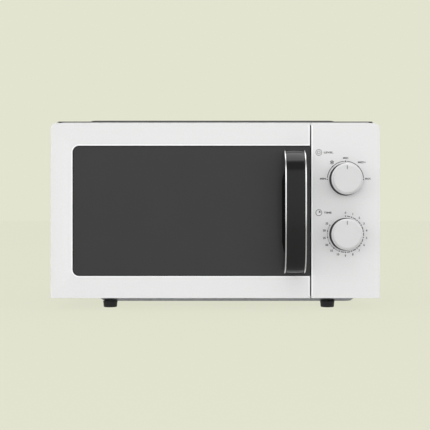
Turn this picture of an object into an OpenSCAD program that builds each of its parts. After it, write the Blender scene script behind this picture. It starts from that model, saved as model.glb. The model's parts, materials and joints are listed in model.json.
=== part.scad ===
// A countertop microwave oven with a side-hinged door, a bow handle and two dials.
// Millimetres. The front faces -Y, +X is to the right and +Z is up.
// The origin lies on the floor, under the middle of the oven's box.

/* [Front] */
// Width across the door and the control panel
front_w = 440; // [430:1:540]
// Height of the door and the control panel
front_h = 234.2; // [225:0.1:285]
// Height of the lower edge of the front above the floor
front_z = 16.6; // [15:0.1:22]
// Radius of the front's upper corners
front_top_r = 8.4; // [4:0.1:12]
// Radius of the front's lower corners
front_low_r = 1.7; // [1:0.1:4]
// Width of the control panel
panel_w = 91.6; // [88:0.1:110]
// Gap between the door and the control panel
seam = 1.7; // [1:0.1:3]
// Wall of the moulded plastic fronts
shell = 2.4; // [2:0.1:3]

/* [Door] */
// Thickness of the door
door_t = 29; // [27:0.5:34]
// Gap between the shut door and the front plate
door_gap = 1; // [0.8:0.1:2]
// Frame left of the window
window_left = 29; // [24:0.5:40]
// Frame below the window
window_low = 29.4; // [24:0.1:40]
// Frame above the window
window_top = 30.1; // [24:0.1:40]
// Corner radius of the window
window_r = 8.8; // [4:0.1:14]
// Thickness of the window pane
pane_t = 3; // [2:0.1:4]
// Hinge axis to the door's left edge
hinge_in = 7; // [6:0.1:7.5]
// Hinge axis to the door's back face
hinge_back = 8; // [7.6:0.1:9]
// Radius of the hinge pins
hinge_pin_r = 2.5; // [2:0.1:3]

/* [Handle] */
// Width of the handle with its trims
handle_w = 28; // [24:0.5:34]
// Length of the handle
handle_l = 165.5; // [150:0.5:190]
// How far the handle's face stands out from the door
handle_out = 33; // [28:0.5:42]
// Thickness of the handle's bow
handle_t = 11; // [9:0.5:13]
// Handle's right side to the door's right edge
handle_in = 7.2; // [5:0.1:14]
// Width of each bright trim
trim_w = 2.3; // [1.5:0.1:4]

/* [Dials] */
// Distance between the two dial shafts
dial_pitch = 73.4; // [62:0.1:84]
// Upper dial's shaft below the top of the front
dial_top = 75.3; // [66:0.1:90]
// Radius of a knob at the panel
knob_r = 21.7; // [18:0.1:24]
// Height of a knob
knob_h = 19; // [15:0.5:24]
// Radius of the dial shafts
shaft_r = 3; // [2.5:0.1:4]

/* [Cabinet] */
// Depth of the cabinet behind the door
cabinet_d = 300; // [290:1:380]
// How far the cabinet's top stands above the top of the front
cabinet_over = 4.8; // [3:0.1:9]
// How far the pressed panel stands up from the cabinet's top
emboss_h = 4.4; // [3:0.1:6]
// Thickness of the sheet steel
sheet = 0.8; // [0.6:0.05:1.2]
// Clearance between fitted sheets
sheet_gap = 0.3; // [0.2:0.05:0.5]
// Height of the feet
foot_h = 8.3; // [7:0.1:10]
// Radius of the feet
foot_r = 10; // [8:0.5:13]

/* [Oven] */
// Cavity wall to the left edge of the front
cavity_left = 21; // [20:0.5:30]
// Cavity wall to the door's right edge
cavity_right = 19.7; // [19:0.1:24]
// Cavity floor above the lower edge of the front
cavity_low = 19.4; // [19:0.1:24]
// Cavity ceiling below the top of the front
cavity_top = 12.6; // [12:0.1:18]
// Gap between the cavity and the rear panel
cavity_rear = 15; // [12:0.5:30]
// Radius of the glass tray
tray_r = 127.5; // [110:0.5:132]
// Radius of the circle that the rollers run on
roller_track_r = 82; // [70:0.5:90]
// Radius of each roller
roller_r = 7.5; // [6.5:0.1:9]
// Running clearance of shafts in their bores
run_gap = 0.06; // [0.03:0.01:0.1]
// Clearance between fixed pieces that fit in each other
fit_gap = 0.05; // [0.02:0.01:0.1]
// Clearance between moving pieces that don't fit in each other
free_gap = 0.5; // [0.3:0.1:1]

/* [Hidden] */
$fn = 64;
eps = 0.01;

// Places along X
front_x0 = -front_w / 2;
front_x1 = front_w / 2;
panel_x0 = front_x1 - panel_w;
door_x1 = panel_x0 - seam;
cavity_x0 = front_x0 + cavity_left;
cavity_x1 = door_x1 - cavity_right;
cavity_cx = (cavity_x0 + cavity_x1) / 2;
cabinet_x = front_w / 2 - 1;
inside_x = cabinet_x - sheet;

// Places along Y, from the handle's face to the back
inlet_flange = 3;
rear_out = inlet_flange - sheet;
total_d = handle_out + door_t + door_gap + cabinet_d + rear_out;
front_y = -total_d / 2 + handle_out;
door_back_y = front_y + door_t;
body_y = door_back_y + door_gap;
back_y = body_y + cabinet_d;
cavity_y1 = back_y - cavity_rear;
cavity_cy = (body_y + cavity_y1) / 2;

// Places along Z
front_top = front_z + front_h;
cavity_z0 = front_z + cavity_low;
cavity_z1 = front_top - cavity_top;
cavity_cz = (cavity_z0 + cavity_z1) / 2;
rim_z = front_z + 1.2;
floor_z = foot_h + sheet;
cabinet_top = front_top + cabinet_over;

// The hinge
hinge_x = front_x0 + hinge_in;
hinge_y = door_back_y - hinge_back;
hinge_lug_t = 2;
hinge_lug_in = 9;
ear_w = 8;
ear_gap = 0.1;
ear_z = [front_z + hinge_lug_in, front_top - hinge_lug_in - hinge_lug_t];

// The window and the opening behind it
window_x0 = front_x0 + window_left;
window_z0 = front_z + window_low;
window_z1 = front_top - window_top;
window_inset = 12;
view_right = 60;
view_x0 = window_x0 + window_inset;
view_x1 = door_x1 - view_right;
view_z0 = window_z0 + window_inset;
view_z1 = window_z1 - window_inset;

// The handle
handle_x1 = door_x1 - handle_in;
handle_x0 = handle_x1 - handle_w;
handle_cx = (handle_x0 + handle_x1) / 2;
handle_cz = front_z + front_h / 2 - 1.5;
handle_steps = 40;
trim_t = 4;
handle_screw_r = 2;
handle_screw_l = 8.5;
handle_screw_in = 9;

// The dials
dial_x = front_x1 - 45.9;
power_z = front_top - dial_top;
timer_z = power_z - dial_pitch;
knob_gap = 0.6;
seam_r = 0.6;

// The latch
latch_x = door_x1 - 9.7;
latch_t = 4;
latch_low_z = front_z + 60;
latch_high_z = front_top - 60;

// The electrical compartment
bay_x0 = cavity_x1 + sheet;
bay_x1 = inside_x;
bay_cx = (bay_x0 + bay_x1) / 2;
guide_w = 28;
guide_l = 96;
guide_h = 80;
guide_cy = cavity_cy + 6;
guide_cz = cavity_z1 - 66;
tube_x = bay_x0 + guide_w + sheet;
fan_cz = guide_cz;
fan_cx = bay_cx + 2;
fan_r = 44;
fan_y = back_y - 26;

// The turntable
tray_z = cavity_z0 + 2 * roller_r + 2 * free_gap;
tray_t = 4;
roller_w = 6;
axle_r = 1.5;
drive_r = 3.5;

// ---------------------------------------------------------------- helpers

// Extrudes an outline drawn in X and Z along Y
module along_y(y0, y1) {
    translate([0, y1, 0]) rotate([90, 0, 0]) linear_extrude(y1 - y0) children();
}

// Extrudes an outline drawn in Y and Z along X
module along_x(x0, x1) {
    translate([x0, 0, 0]) rotate([90, 0, 90]) linear_extrude(x1 - x0) children();
}

// A box between two corners
module block(a, b) {
    translate(a) cube([b[0] - a[0], b[1] - a[1], b[2] - a[2]]);
}

// A rectangle with its own radius at each corner: low left, low right, top right, top left
module corner_rect(x0, z0, x1, z1, r) {
    spots = [[x0, z0, 1, 1], [x1, z0, -1, 1], [x1, z1, -1, -1], [x0, z1, 1, -1]];
    difference() {
        translate([x0, z0]) square([x1 - x0, z1 - z0]);
        for (i = [0:3])
            if (r[i] > 0)
                translate([spots[i][0], spots[i][1]])
                    face_corner(spots[i][2], spots[i][3]) corner_waste(r[i]);
    }
}

// Turns a corner's waste to one of the four corners
module face_corner(sx, sz) {
    mirror([sx < 0 ? 1 : 0, 0]) mirror([0, sz < 0 ? 1 : 0]) children();
}

// What a rounded corner leaves out of a square one
module corner_waste(r) {
    difference() {
        translate([-1, -1]) square(r + 1);
        translate([r, r]) circle(r);
    }
}

// A cylinder along Y
module rod_y(x, z, r, y0, y1) {
    translate([x, y0, z]) rotate([-90, 0, 0]) cylinder(r = r, h = y1 - y0);
}

// A cylinder along X
module rod_x(y, z, r, x0, x1) {
    translate([x0, y, z]) rotate([0, 90, 0]) cylinder(r = r, h = x1 - x0);
}

// A cylinder along Z
module rod_z(x, y, r, z0, z1) {
    translate([x, y, z0]) cylinder(r = r, h = z1 - z0);
}

// A slot with round ends along Z, cut through a sheet that lies in X and Z
module slot_y(x, z, w, l, y0, y1) {
    block([x - w / 2, y0, z - l / 2], [x + w / 2, y1, z + l / 2]);
    rod_y(x, z - l / 2, w / 2, y0, y1);
    rod_y(x, z + l / 2, w / 2, y0, y1);
}

// A pan-head screw along +Y with its head at y
module screw_y(x, z, r, l, y) {
    head_r = 2 * r;
    cross_l = 1.4 * r;
    cross_w = 0.2 * r;
    cross_y = y + r / 2;
    difference() {
        union() {
            rod_y(x, z, r, y - l, y);
            rod_y(x, z, head_r, y, y + r);
        }
        block([x - cross_l, cross_y, z - cross_w], [x + cross_l, y + head_r, z + cross_w]);
        block([x - cross_w, cross_y, z - cross_l], [x + cross_w, y + head_r, z + cross_l]);
    }
}

// ---------------------------------------------------------------- cabinet

cabinet_r = 6;
rear_lip = 11;
emboss_slope = 4;
emboss_x0 = front_x0 + 41;
emboss_x1 = front_x1 - 49;
emboss_y0 = body_y + 28;
emboss_y1 = back_y - 30;
emboss_r = 14;
emboss_top_r = 12;
cab_screw_r = 2;
cab_screw_l = 7;
cab_screw_in = 24;
rear_screws = [
    for (z = [rim_z + cab_screw_in, cabinet_top - cab_screw_in]) for (s = [-1, 1])
        [s * (cabinet_x - rear_lip / 2), z],
    for (s = [-1, 1]) [s * front_w / 5, cabinet_top - rear_lip / 2]
];
lower_lip = 9;
louvre_rows = 3;
louvre_count = 14;
louvre_pitch = 9;
louvre_row_pitch = 26;
louvre_down = 60;
louvre_size = [4, 2.6, 17];
louvre_lean = 20;
bay_louvre_y = back_y - 40;
oven_louvre_y = back_y - 60;

// The pressed panel's solid, with its foot at z
module emboss(z, grow) {
    hull() {
        translate([0, 0, z])
            linear_extrude(eps)
                corner_rect(emboss_x0 - grow, emboss_y0 - grow, emboss_x1 + grow, emboss_y1 + grow,
                    [emboss_r, emboss_r, emboss_r, emboss_r], $fn = 32);
        translate([0, 0, z + emboss_h - eps])
            linear_extrude(eps)
                corner_rect(emboss_x0 + emboss_slope - grow, emboss_y0 + emboss_slope - grow,
                    emboss_x1 - emboss_slope + grow, emboss_y1 - emboss_slope + grow,
                    [emboss_top_r, emboss_top_r, emboss_top_r, emboss_top_r], $fn = 32);
    }
}

module outer_cabinet() {
    lip_in = cabinet_x - rear_lip;
    color("silver")
        difference() {
            union() {
                along_y(body_y, back_y)
                    difference() {
                        corner_rect(-cabinet_x, rim_z - sheet, cabinet_x, cabinet_top,
                            [0, 0, cabinet_r, cabinet_r]);
                        corner_rect(-inside_x, rim_z - 2 * sheet, inside_x, cabinet_top - sheet,
                            [0, 0, cabinet_r - sheet, cabinet_r - sheet]);
                    }
                // rear lip that takes the screws
                along_y(back_y - sheet, back_y)
                    difference() {
                        corner_rect(-cabinet_x, rim_z - sheet, cabinet_x, cabinet_top,
                            [0, 0, cabinet_r, cabinet_r]);
                        translate([-lip_in, rim_z - 2 * sheet])
                            square([2 * lip_in, cabinet_top - rear_lip - rim_z + 2 * sheet]);
                    }
                // lower lips that hold the base plate
                for (s = [0, 1])
                    mirror([s, 0, 0])
                        block([-cabinet_x, body_y, rim_z - sheet], [-cabinet_x + lower_lip, back_y, rim_z]);
                emboss(cabinet_top - eps, 0);
            }
            emboss(cabinet_top - sheet - eps, -sheet / 2);
            for (p = rear_screws) rod_y(p[0], p[1], cab_screw_r, back_y - 2, back_y + 1);
            // louvres beside the electrical bay and, fewer, by the oven
            for (row = [0:louvre_rows - 1]) {
                z = cabinet_top - louvre_down - louvre_row_pitch * row;
                for (i = [0:louvre_count - 1])
                    louvre(cabinet_x, bay_louvre_y - louvre_pitch * i, z);
                for (i = [0:louvre_count / 2 - 1])
                    louvre(-cabinet_x, oven_louvre_y - louvre_pitch * i, z);
            }
        }
}

// One slanted vent through a side of the cabinet
module louvre(x, y, z) {
    translate([x, y, z]) rotate([louvre_lean, 0, 0]) cube(louvre_size, center = true);
}

pan_x0 = front_x0 + 52;
pan_x1 = front_x1 - 19;
pan_slope = 11;
pan_r = 16;
pan_low_r = 12;
pan_y0 = body_y + 12;
pan_y1 = back_y - 24;
foot_x0 = pan_x0 + 22;
foot_x1 = pan_x1 - 45;
foot_y0 = body_y + 24;
foot_y1 = back_y - 50;
foot_pin_r = 2.2;
foot_pin_l = 3;
base_slots = 9;
base_slot_pitch = 8;
access_ring_r = 30;
access_hole_r = 4;

// The pressed pan's solid below the base plate's rim
module pan(z_low, z_high, grow) {
    hull() {
        translate([0, 0, z_high - eps])
            linear_extrude(eps)
                corner_rect(pan_x0 - grow, pan_y0 - grow, pan_x1 + grow, pan_y1 + grow,
                    [pan_r, pan_r, pan_r, pan_r], $fn = 32);
        translate([0, 0, z_low])
            linear_extrude(eps)
                corner_rect(pan_x0 + pan_slope - grow, pan_y0 + pan_slope - grow,
                    pan_x1 - pan_slope + grow, pan_y1 - pan_slope + grow,
                    [pan_low_r, pan_low_r, pan_low_r, pan_low_r], $fn = 32);
    }
}

module base_plate() {
    edge = inside_x - sheet_gap;
    slots_x0 = bay_cx - base_slot_pitch * (base_slots - 1) / 2;
    color("gainsboro")
        difference() {
            union() {
                block([-edge, body_y + sheet + sheet_gap, rim_z], [edge, back_y - 3 * sheet, rim_z + sheet]);
                pan(foot_h, rim_z + eps, 0);
            }
            pan(foot_h + sheet, rim_z + sheet + 1, -sheet / 2);
            for (x = [foot_x0, foot_x1]) for (y = [foot_y0, foot_y1])
                rod_z(x, y, foot_pin_r, foot_h - 1, foot_h + foot_pin_l + 1);
            // cooling slots under the transformer and access holes under the motor
            for (i = [0:base_slots - 1]) base_slot(slots_x0 + base_slot_pitch * i, cavity_cy + 40);
            for (a = [0:60:300])
                rod_z(cavity_cx + access_ring_r * cos(a), cavity_cy + access_ring_r * sin(a),
                    access_hole_r, foot_h - 1, floor_z + 1);
        }
}

// One round-ended slot through the pan's floor, along Y
module base_slot(x, y) {
    slot_l = 30;
    slot_r = 1.6;
    block([x - slot_r, y - slot_l / 2, foot_h - 1], [x + slot_r, y + slot_l / 2, floor_z + 1]);
    for (s = [-1, 1]) rod_z(x, y + s * slot_l / 2, slot_r, foot_h - 1, floor_z + 1);
}

inlet_x = front_x1 - 62;
inlet_z = rim_z + 20;
inlet_r = 7;
inlet_bore_r = 3.6;
inlet_rim = 1.8;
inlet_l = 6;
intake_rings = 4;
intake_pitch = 9.5;
intake_r = 3;
exhaust_slots = 12;
exhaust_pitch = 8;
exhaust_w = 3.2;
exhaust_l = 20;
exhaust_row_pitch = 34;

module rear_panel() {
    edge = inside_x - sheet_gap;
    y1 = back_y - sheet;
    y0 = y1 - sheet;
    color("gainsboro")
        difference() {
            along_y(y0, y1)
                corner_rect(-edge, rim_z + sheet + sheet_gap, edge, cabinet_top - sheet - sheet_gap,
                    [0, 0, cabinet_r, cabinet_r]);
            for (p = rear_screws) rod_y(p[0], p[1], cab_screw_r, y0 - 1, y1 + 1);
            rod_y(inlet_x, inlet_z, inlet_r, y0 - 1, y1 + 1);
            // intake holes behind the fan, in rings
            for (ring = [1:intake_rings]) for (i = [0:6 * ring - 1])
                rod_y(fan_cx + intake_pitch * ring * cos(60 * i / ring),
                    fan_cz + intake_pitch * ring * sin(60 * i / ring), intake_r, y0 - 1, y1 + 1);
            // exhaust slots behind the oven
            for (row = [0, 1]) for (i = [0:exhaust_slots - 1])
                slot_y(cavity_x0 + 30 + exhaust_pitch * i, cavity_z1 - 20 - exhaust_row_pitch * row,
                    exhaust_w, exhaust_l, y0 - 1, y1 + 1);
        }
}

// A foot with its moulded pin
module foot(x, y) {
    translate([x, y, 0])
        rotate_extrude()
            polygon([[0, 0], [foot_r - 1.6, 0], [foot_r - 0.8, 0.8], [foot_r, foot_h],
                [foot_pin_r - fit_gap, foot_h], [foot_pin_r - fit_gap, foot_h + foot_pin_l],
                [0, foot_h + foot_pin_l]]);
}

module front_feet() {
    color("black") for (x = [foot_x0, foot_x1]) foot(x, foot_y0);
}

module rear_feet() {
    color("black") for (x = [foot_x0, foot_x1]) foot(x, foot_y1);
}

module cabinet_screws() {
    color("silver") for (p = rear_screws) screw_y(p[0], p[1], cab_screw_r, cab_screw_l, back_y);
}

module cord_inlet() {
    y1 = back_y - sheet;
    color("dimgray")
        difference() {
            union() {
                rod_y(inlet_x, inlet_z, inlet_r - fit_gap, y1 - inlet_l, y1);
                rod_y(inlet_x, inlet_z, inlet_r + inlet_rim, y1, y1 + inlet_flange);
                rod_y(inlet_x, inlet_z, inlet_r + inlet_rim, y1 - inlet_l, y1 - sheet - fit_gap);
            }
            rod_y(inlet_x, inlet_z, inlet_bore_r, y1 - inlet_l - 1, y1 + inlet_flange + 1);
        }
}

// ---------------------------------------------------------------- oven

plate_x0 = front_x0 + 2.4;
plate_x1 = panel_x0 + 8;
plate_z0 = front_z + 3;
plate_z1 = front_top - 1;
plate_r = 2;
latch_slot_w = 7;
slot_h = 22;
lamp_y = body_y + 62;
lamp_z = cavity_z1 - 26;
lamp_hole_pitch = 5;
steam_pitch = 6;
vent_hole_r = 1.5;
feed_front = 40;
feed_back = 34;
feed_half_h = 22;

module oven_cavity() {
    color("whitesmoke")
        difference() {
            union() {
                block([cavity_x0 - sheet, body_y, cavity_z0 - sheet],
                    [cavity_x1 + sheet, cavity_y1 + sheet, cavity_z1 + sheet]);
                along_y(body_y, body_y + sheet)
                    corner_rect(plate_x0, plate_z0, plate_x1, plate_z1,
                        [plate_r, plate_r, plate_r, plate_r]);
            }
            block([cavity_x0, body_y - 1, cavity_z0], [cavity_x1, cavity_y1, cavity_z1]);
            rod_z(cavity_cx, cavity_cy, drive_r + 3, cavity_z0 - 2, cavity_z0 + 1);
            for (z = [latch_low_z, latch_high_z])
                block([latch_x - latch_slot_w / 2, body_y - 1, z - slot_h / 2],
                    [latch_x + latch_slot_w / 2, body_y + 2, z + slot_h / 2]);
            for (z = ear_z)
                block([hinge_x - ear_w / 2 - ear_gap, body_y - 1, z - ear_gap],
                    [hinge_x + ear_w / 2 + ear_gap, body_y + 2, z + hinge_lug_t + ear_gap]);
            // feed opening behind the mica sheet
            block([cavity_x1 - 1, guide_cy - feed_front, guide_cz - feed_half_h],
                [cavity_x1 + 2, guide_cy + feed_back, guide_cz + feed_half_h]);
            // holes that let the lamp's light in
            for (i = [-3:3]) for (k = [-2:2])
                rod_x(lamp_y + lamp_hole_pitch * i, lamp_z + lamp_hole_pitch * k, vent_hole_r,
                    cavity_x1 - 1, cavity_x1 + 2);
            // steam holes at the back
            for (i = [0:9]) for (k = [0:3])
                rod_y(cavity_x0 + 34 + steam_pitch * i, cavity_z1 - 20 - steam_pitch * k, vent_hole_r,
                    cavity_y1 - 1, cavity_y1 + 2);
        }
}

antenna_r = 8;
filter_neck_r = 6;

module waveguide() {
    x1 = bay_x0 + guide_w;
    color("silver")
        difference() {
            block([bay_x0, guide_cy - guide_l / 2, guide_cz - guide_h / 2],
                [x1, guide_cy + guide_l / 2, guide_cz + guide_h / 2]);
            block([bay_x0 - 1, guide_cy - guide_l / 2 + sheet, guide_cz - guide_h / 2 + sheet],
                [x1 - sheet, guide_cy + guide_l / 2 - sheet, guide_cz + guide_h / 2 - sheet]);
            rod_x(guide_cy, guide_cz, antenna_r + 2, x1 - 2, x1 + 1);
        }
}

module waveguide_cover() {
    mica_t = 0.6;
    mica_gap = 0.1;
    mica_over = 11;
    mica_r = 4;
    x1 = cavity_x1 - mica_gap;
    color("burlywood")
        along_x(x1 - mica_t, x1)
            corner_rect(guide_cy - feed_front - mica_over, guide_cz - feed_half_h - mica_over,
                guide_cy + feed_back + mica_over, guide_cz + feed_half_h + mica_over,
                [mica_r, mica_r, mica_r, mica_r]);
}

lamp_box = [40, 22, 17];
lamp_wall = 1;
bulb_neck_r = 5.8;

module lamp_holder() {
    x1 = bay_x0 + lamp_box[0];
    color("silver")
        difference() {
            block([bay_x0 + ear_gap, lamp_y - lamp_box[1], lamp_z - lamp_box[2]],
                [x1, lamp_y + lamp_box[1], lamp_z + lamp_box[2]]);
            block([bay_x0 - 1, lamp_y - lamp_box[1] + lamp_wall, lamp_z - lamp_box[2] + lamp_wall],
                [x1 - lamp_wall, lamp_y + lamp_box[1] - lamp_wall, lamp_z + lamp_box[2] - lamp_wall]);
            rod_x(lamp_y, lamp_z, bulb_neck_r + 0.2, x1 - 2, x1 + 1);
        }
}

// A round bulb whose neck passes through the holder
module lamp_bulb() {
    bulb_r = 9;
    bulb_l = 34;
    color("lightyellow")
        translate([bay_x0 + bulb_r + 3, lamp_y, lamp_z])
            rotate([0, 90, 0])
                rotate_extrude() {
                    intersection() {
                        circle(bulb_r);
                        translate([0, -bulb_r]) square([bulb_r, 2 * bulb_r]);
                    }
                    square([bulb_neck_r, bulb_l]);
                }
}

motor_r = 24;
motor_h = 15;
motor_base = 2;

module turntable_motor() {
    z1 = cavity_z0 - sheet;
    tab_l = motor_r + 7;
    tab_half_w = 6;
    tab_t = 1.2;
    plug_half_w = 8;
    plug_out = 9;
    color("gold")
        difference() {
            union() {
                rod_z(cavity_cx, cavity_cy, motor_r, z1 - motor_h, z1 - 1);
                block([cavity_cx - tab_l, cavity_cy - tab_half_w, z1 - tab_t],
                    [cavity_cx + tab_l, cavity_cy + tab_half_w, z1]);
                block([cavity_cx - plug_half_w, cavity_cy + motor_r - plug_out / 2,
                        z1 - motor_h + motor_base],
                    [cavity_cx + plug_half_w, cavity_cy + motor_r + plug_out, z1 - 3]);
            }
            rod_z(cavity_cx, cavity_cy, drive_r + run_gap, z1 - motor_h + motor_base, z1 + 1);
        }
}

tray_lug_r = 12;
tray_lug_w = 5;
tray_lug_h = 4;
coupler_r = 17;
coupler_z0 = cavity_z0 + 3;

// The drive that the motor turns, with three arms between the tray's lugs
module turntable_coupler() {
    z_top = tray_z - 1;
    shaft_z = cavity_z0 - sheet - motor_h + motor_base + 1;
    hub_r = 9;
    coupler_arm_w = 8;
    relief_r = 2;
    color("ivory")
        difference() {
            union() {
                rod_z(cavity_cx, cavity_cy, drive_r, shaft_z, coupler_z0 + 1);
                rod_z(cavity_cx, cavity_cy, hub_r, coupler_z0, z_top);
                for (a = [90, 210, 330])
                    translate([cavity_cx, cavity_cy, coupler_z0])
                        rotate([0, 0, a])
                            translate([0, -coupler_arm_w / 2, 0])
                                cube([coupler_r, coupler_arm_w, z_top - coupler_z0]);
            }
            // relief in the shaft's end
            rod_z(cavity_cx, cavity_cy, relief_r, shaft_z - 1, shaft_z + 3);
        }
}

module glass_tray() {
    rim_h = 11;
    rim_w = 9;
    rim_t = 2.5;
    bend = 1.5;
    color("lightcyan")
        translate([cavity_cx, cavity_cy, tray_z]) {
            rotate_extrude($fn = 96)
                polygon([[0, 0], [tray_r - rim_w - 4 * bend, 0], [tray_r - rim_w, bend],
                    [tray_r - bend, rim_h - 2 * bend], [tray_r, rim_h - bend], [tray_r - bend / 3, rim_h],
                    [tray_r - rim_t, rim_h], [tray_r - rim_w - rim_t, tray_t + bend],
                    [tray_r - rim_w - rim_t - 3 * bend, tray_t], [0, tray_t]]);
            // lugs under the tray that the coupler's arms push round
            for (a = [30, 150, 270])
                rotate([0, 0, a])
                    translate([tray_lug_r, 0, -tray_lug_h])
                        cylinder(r = tray_lug_w / 2, h = tray_lug_h + 0.5);
        }
}

ring_r = roller_track_r - 12;
ring_w = 7;
ring_t = 4;
ring_z = cavity_z0 + roller_r + free_gap;
axle_out = roller_track_r + roller_w / 2 + 2;

// A flat ring between two radii
module flat_ring(r_out, r_in, t) {
    rotate([0, 0, 30]) rotate_extrude() translate([r_in, -t / 2]) square([r_out - r_in, t]);
}

module roller_ring() {
    hub_r = 28;
    hub_w = 5;
    arm_w = 6;
    washer_r = 2.4;
    washer_t = 1.2;
    color("whitesmoke")
        translate([cavity_cx, cavity_cy, ring_z]) {
            flat_ring(ring_r, ring_r - ring_w, ring_t);
            flat_ring(hub_r, hub_r - hub_w, ring_t);
            // axles of the rollers, each with its end washer
            for (a = [0, 120, 240])
                rotate([0, 0, a]) {
                    translate([ring_r - ring_w + 1, 0, 0]) rotate([0, 90, 0])
                        cylinder(r = axle_r, h = axle_out - ring_r + ring_w - 1);
                    translate([axle_out - washer_t, 0, 0]) rotate([0, 90, 0])
                        cylinder(r = washer_r, h = washer_t);
                }
            // spokes that keep the ring round the coupler
            for (a = [60, 180, 300])
                rotate([0, 0, a])
                    translate([hub_r - 2, -arm_w / 2, -ring_t / 2])
                        cube([ring_r - ring_w - hub_r + 4, arm_w, ring_t]);
        }
}

// A roller on its axle, number i of three round the ring
module roller(i) {
    color("white")
        translate([cavity_cx, cavity_cy, ring_z])
            rotate([0, 0, 120 * i])
                translate([roller_track_r - roller_w / 2, 0, 0])
                    rotate([0, 90, 0])
                        difference() {
                            cylinder(r = roller_r, h = roller_w);
                            translate([0, 0, -1]) cylinder(r = axle_r + run_gap, h = roller_w + 2);
                        }
}

module roller_1() { roller(0); }
module roller_2() { roller(1); }
module roller_3() { roller(2); }

// ---------------------------------------------------------------- high voltage

yoke_w = 84;
yoke_d = 66;
yoke_h = 46;
yoke_wall = 1.5;
anode_r = 20;

module magnetron_yoke() {
    color("silver")
        difference() {
            block([tube_x, guide_cy - yoke_w / 2, guide_cz - yoke_d / 2],
                [tube_x + yoke_h, guide_cy + yoke_w / 2, guide_cz + yoke_d / 2]);
            block([tube_x + yoke_wall, guide_cy - yoke_w / 2 + yoke_wall, guide_cz - yoke_d],
                [tube_x + yoke_h - yoke_wall, guide_cy + yoke_w / 2 - yoke_wall, guide_cz + yoke_d]);
            rod_x(guide_cy, guide_cz, antenna_r + 0.3, tube_x - 1, tube_x + 2 * yoke_wall);
            rod_x(guide_cy, guide_cz, filter_neck_r, tube_x + yoke_h - 2 * yoke_wall, tube_x + yoke_h + 1);
        }
}

tube_gap = 0.3;

// The anode with its cooling fins and a ring magnet at each end
module magnetron_fins() {
    x0 = tube_x + yoke_wall + tube_gap;
    x1 = tube_x + yoke_h - yoke_wall - tube_gap;
    magnet_t = 7;
    magnet_r = anode_r + 6;
    fins = 6;
    fin_t = 0.8;
    fin_pitch = 5;
    fin_y = yoke_w / 2 - yoke_wall - tube_gap;
    fin_z = yoke_d / 2 - 2;
    color("lightgray") {
        rod_x(guide_cy, guide_cz, anode_r, x0 + magnet_t, x1 - magnet_t);
        for (i = [0:fins - 1])
            block([x0 + magnet_t + 2 + fin_pitch * i, guide_cy - fin_y, guide_cz - fin_z],
                [x0 + magnet_t + 2 + fin_t + fin_pitch * i, guide_cy + fin_y, guide_cz + fin_z]);
        rod_x(guide_cy, guide_cz, magnet_r, x0, x0 + magnet_t);
        rod_x(guide_cy, guide_cz, magnet_r, x1 - magnet_t, x1);
    }
}

module magnetron_antenna() {
    cap_x = tube_x - 14;
    tip_x = tube_x - 20;
    color("gold") {
        rod_x(guide_cy, guide_cz, antenna_r, cap_x, tube_x + yoke_wall + tube_gap - 0.1);
        rod_x(guide_cy, guide_cz, antenna_r - 1.5, tip_x, cap_x);
    }
}

module magnetron_filter_box() {
    x0 = tube_x + yoke_h;
    box_l = 20;
    box_y0 = guide_cy - 28;
    box_y1 = guide_cy + 22;
    box_half_h = 26;
    plug_l = 8;
    color("silver") {
        block([x0, box_y0, guide_cz - box_half_h], [x0 + box_l, box_y1, guide_cz + box_half_h]);
        rod_y(x0 + box_l / 2, guide_cz, filter_neck_r, box_y1, box_y1 + plug_l);
    }
}

core_w = 72;
core_l = 72;
core_h = 60;
core_leg = 13;
core_mid = 24;
core_plate_t = 2;
core_plate_over = 9;
core_z = floor_z + core_plate_t;
coil_win = core_w / 2 - core_leg - core_mid / 2;
coil_gap = 0.4;
core_cx = bay_x0 + core_w / 2 + 6;
core_cy = body_y + 92;

// The stack of laminations on its foot plate, with a window each side of the middle leg
module transformer_core() {
    color("dimgray") {
        difference() {
            block([core_cx - core_w / 2, core_cy - core_l / 2, core_z],
                [core_cx + core_w / 2, core_cy + core_l / 2, core_z + core_h]);
            for (s = [-1, 1])
                translate([core_cx + s * (core_mid + coil_win) / 2, 0, 0])
                    block([-coil_win / 2, core_cy - core_l, core_z + core_leg],
                        [coil_win / 2, core_cy + core_l, core_z + core_h - core_leg]);
        }
        block([core_cx - core_w / 2 + 2, core_cy - core_l / 2 - core_plate_over, floor_z],
            [core_cx + core_w / 2 - 2, core_cy + core_l / 2 + core_plate_over, core_z]);
    }
}

// The low and the high winding, one above the other round the middle leg
module transformer_windings() {
    low = core_z + core_leg;
    high = core_z + core_h - core_leg;
    split = low + (high - low) * 0.45;
    half_x = core_mid / 2 + coil_gap;
    half_y = core_l / 2 + coil_gap;
    color("peru")
        for (zz = [[low + coil_gap, split - 1], [split + 1, high - coil_gap]])
            difference() {
                along_z_round(core_cx, core_cy, core_mid / 2 + coil_win - coil_gap,
                    core_l / 2 + coil_win - 1, 8, zz);
                block([core_cx - half_x, core_cy - half_y, zz[0] - 1],
                    [core_cx + half_x, core_cy + half_y, zz[1] + 1]);
            }
}

// A block with round upright edges, centred at x and y
module along_z_round(x, y, hx, hy, r, zz) {
    translate([0, 0, zz[0]])
        linear_extrude(zz[1] - zz[0])
            corner_rect(x - hx, y - hy, x + hx, y + hy, [r, r, r, r]);
}

cap_l = 82;
cap_w = 32;
cap_h = 52;
cap_cx = bay_cx + 2;
cap_cy = core_cy + core_l / 2 + 62;

cap_z = floor_z + 6;
cap_r = 15.5;
clamp_t = 1;
clamp_h = 14;

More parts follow.
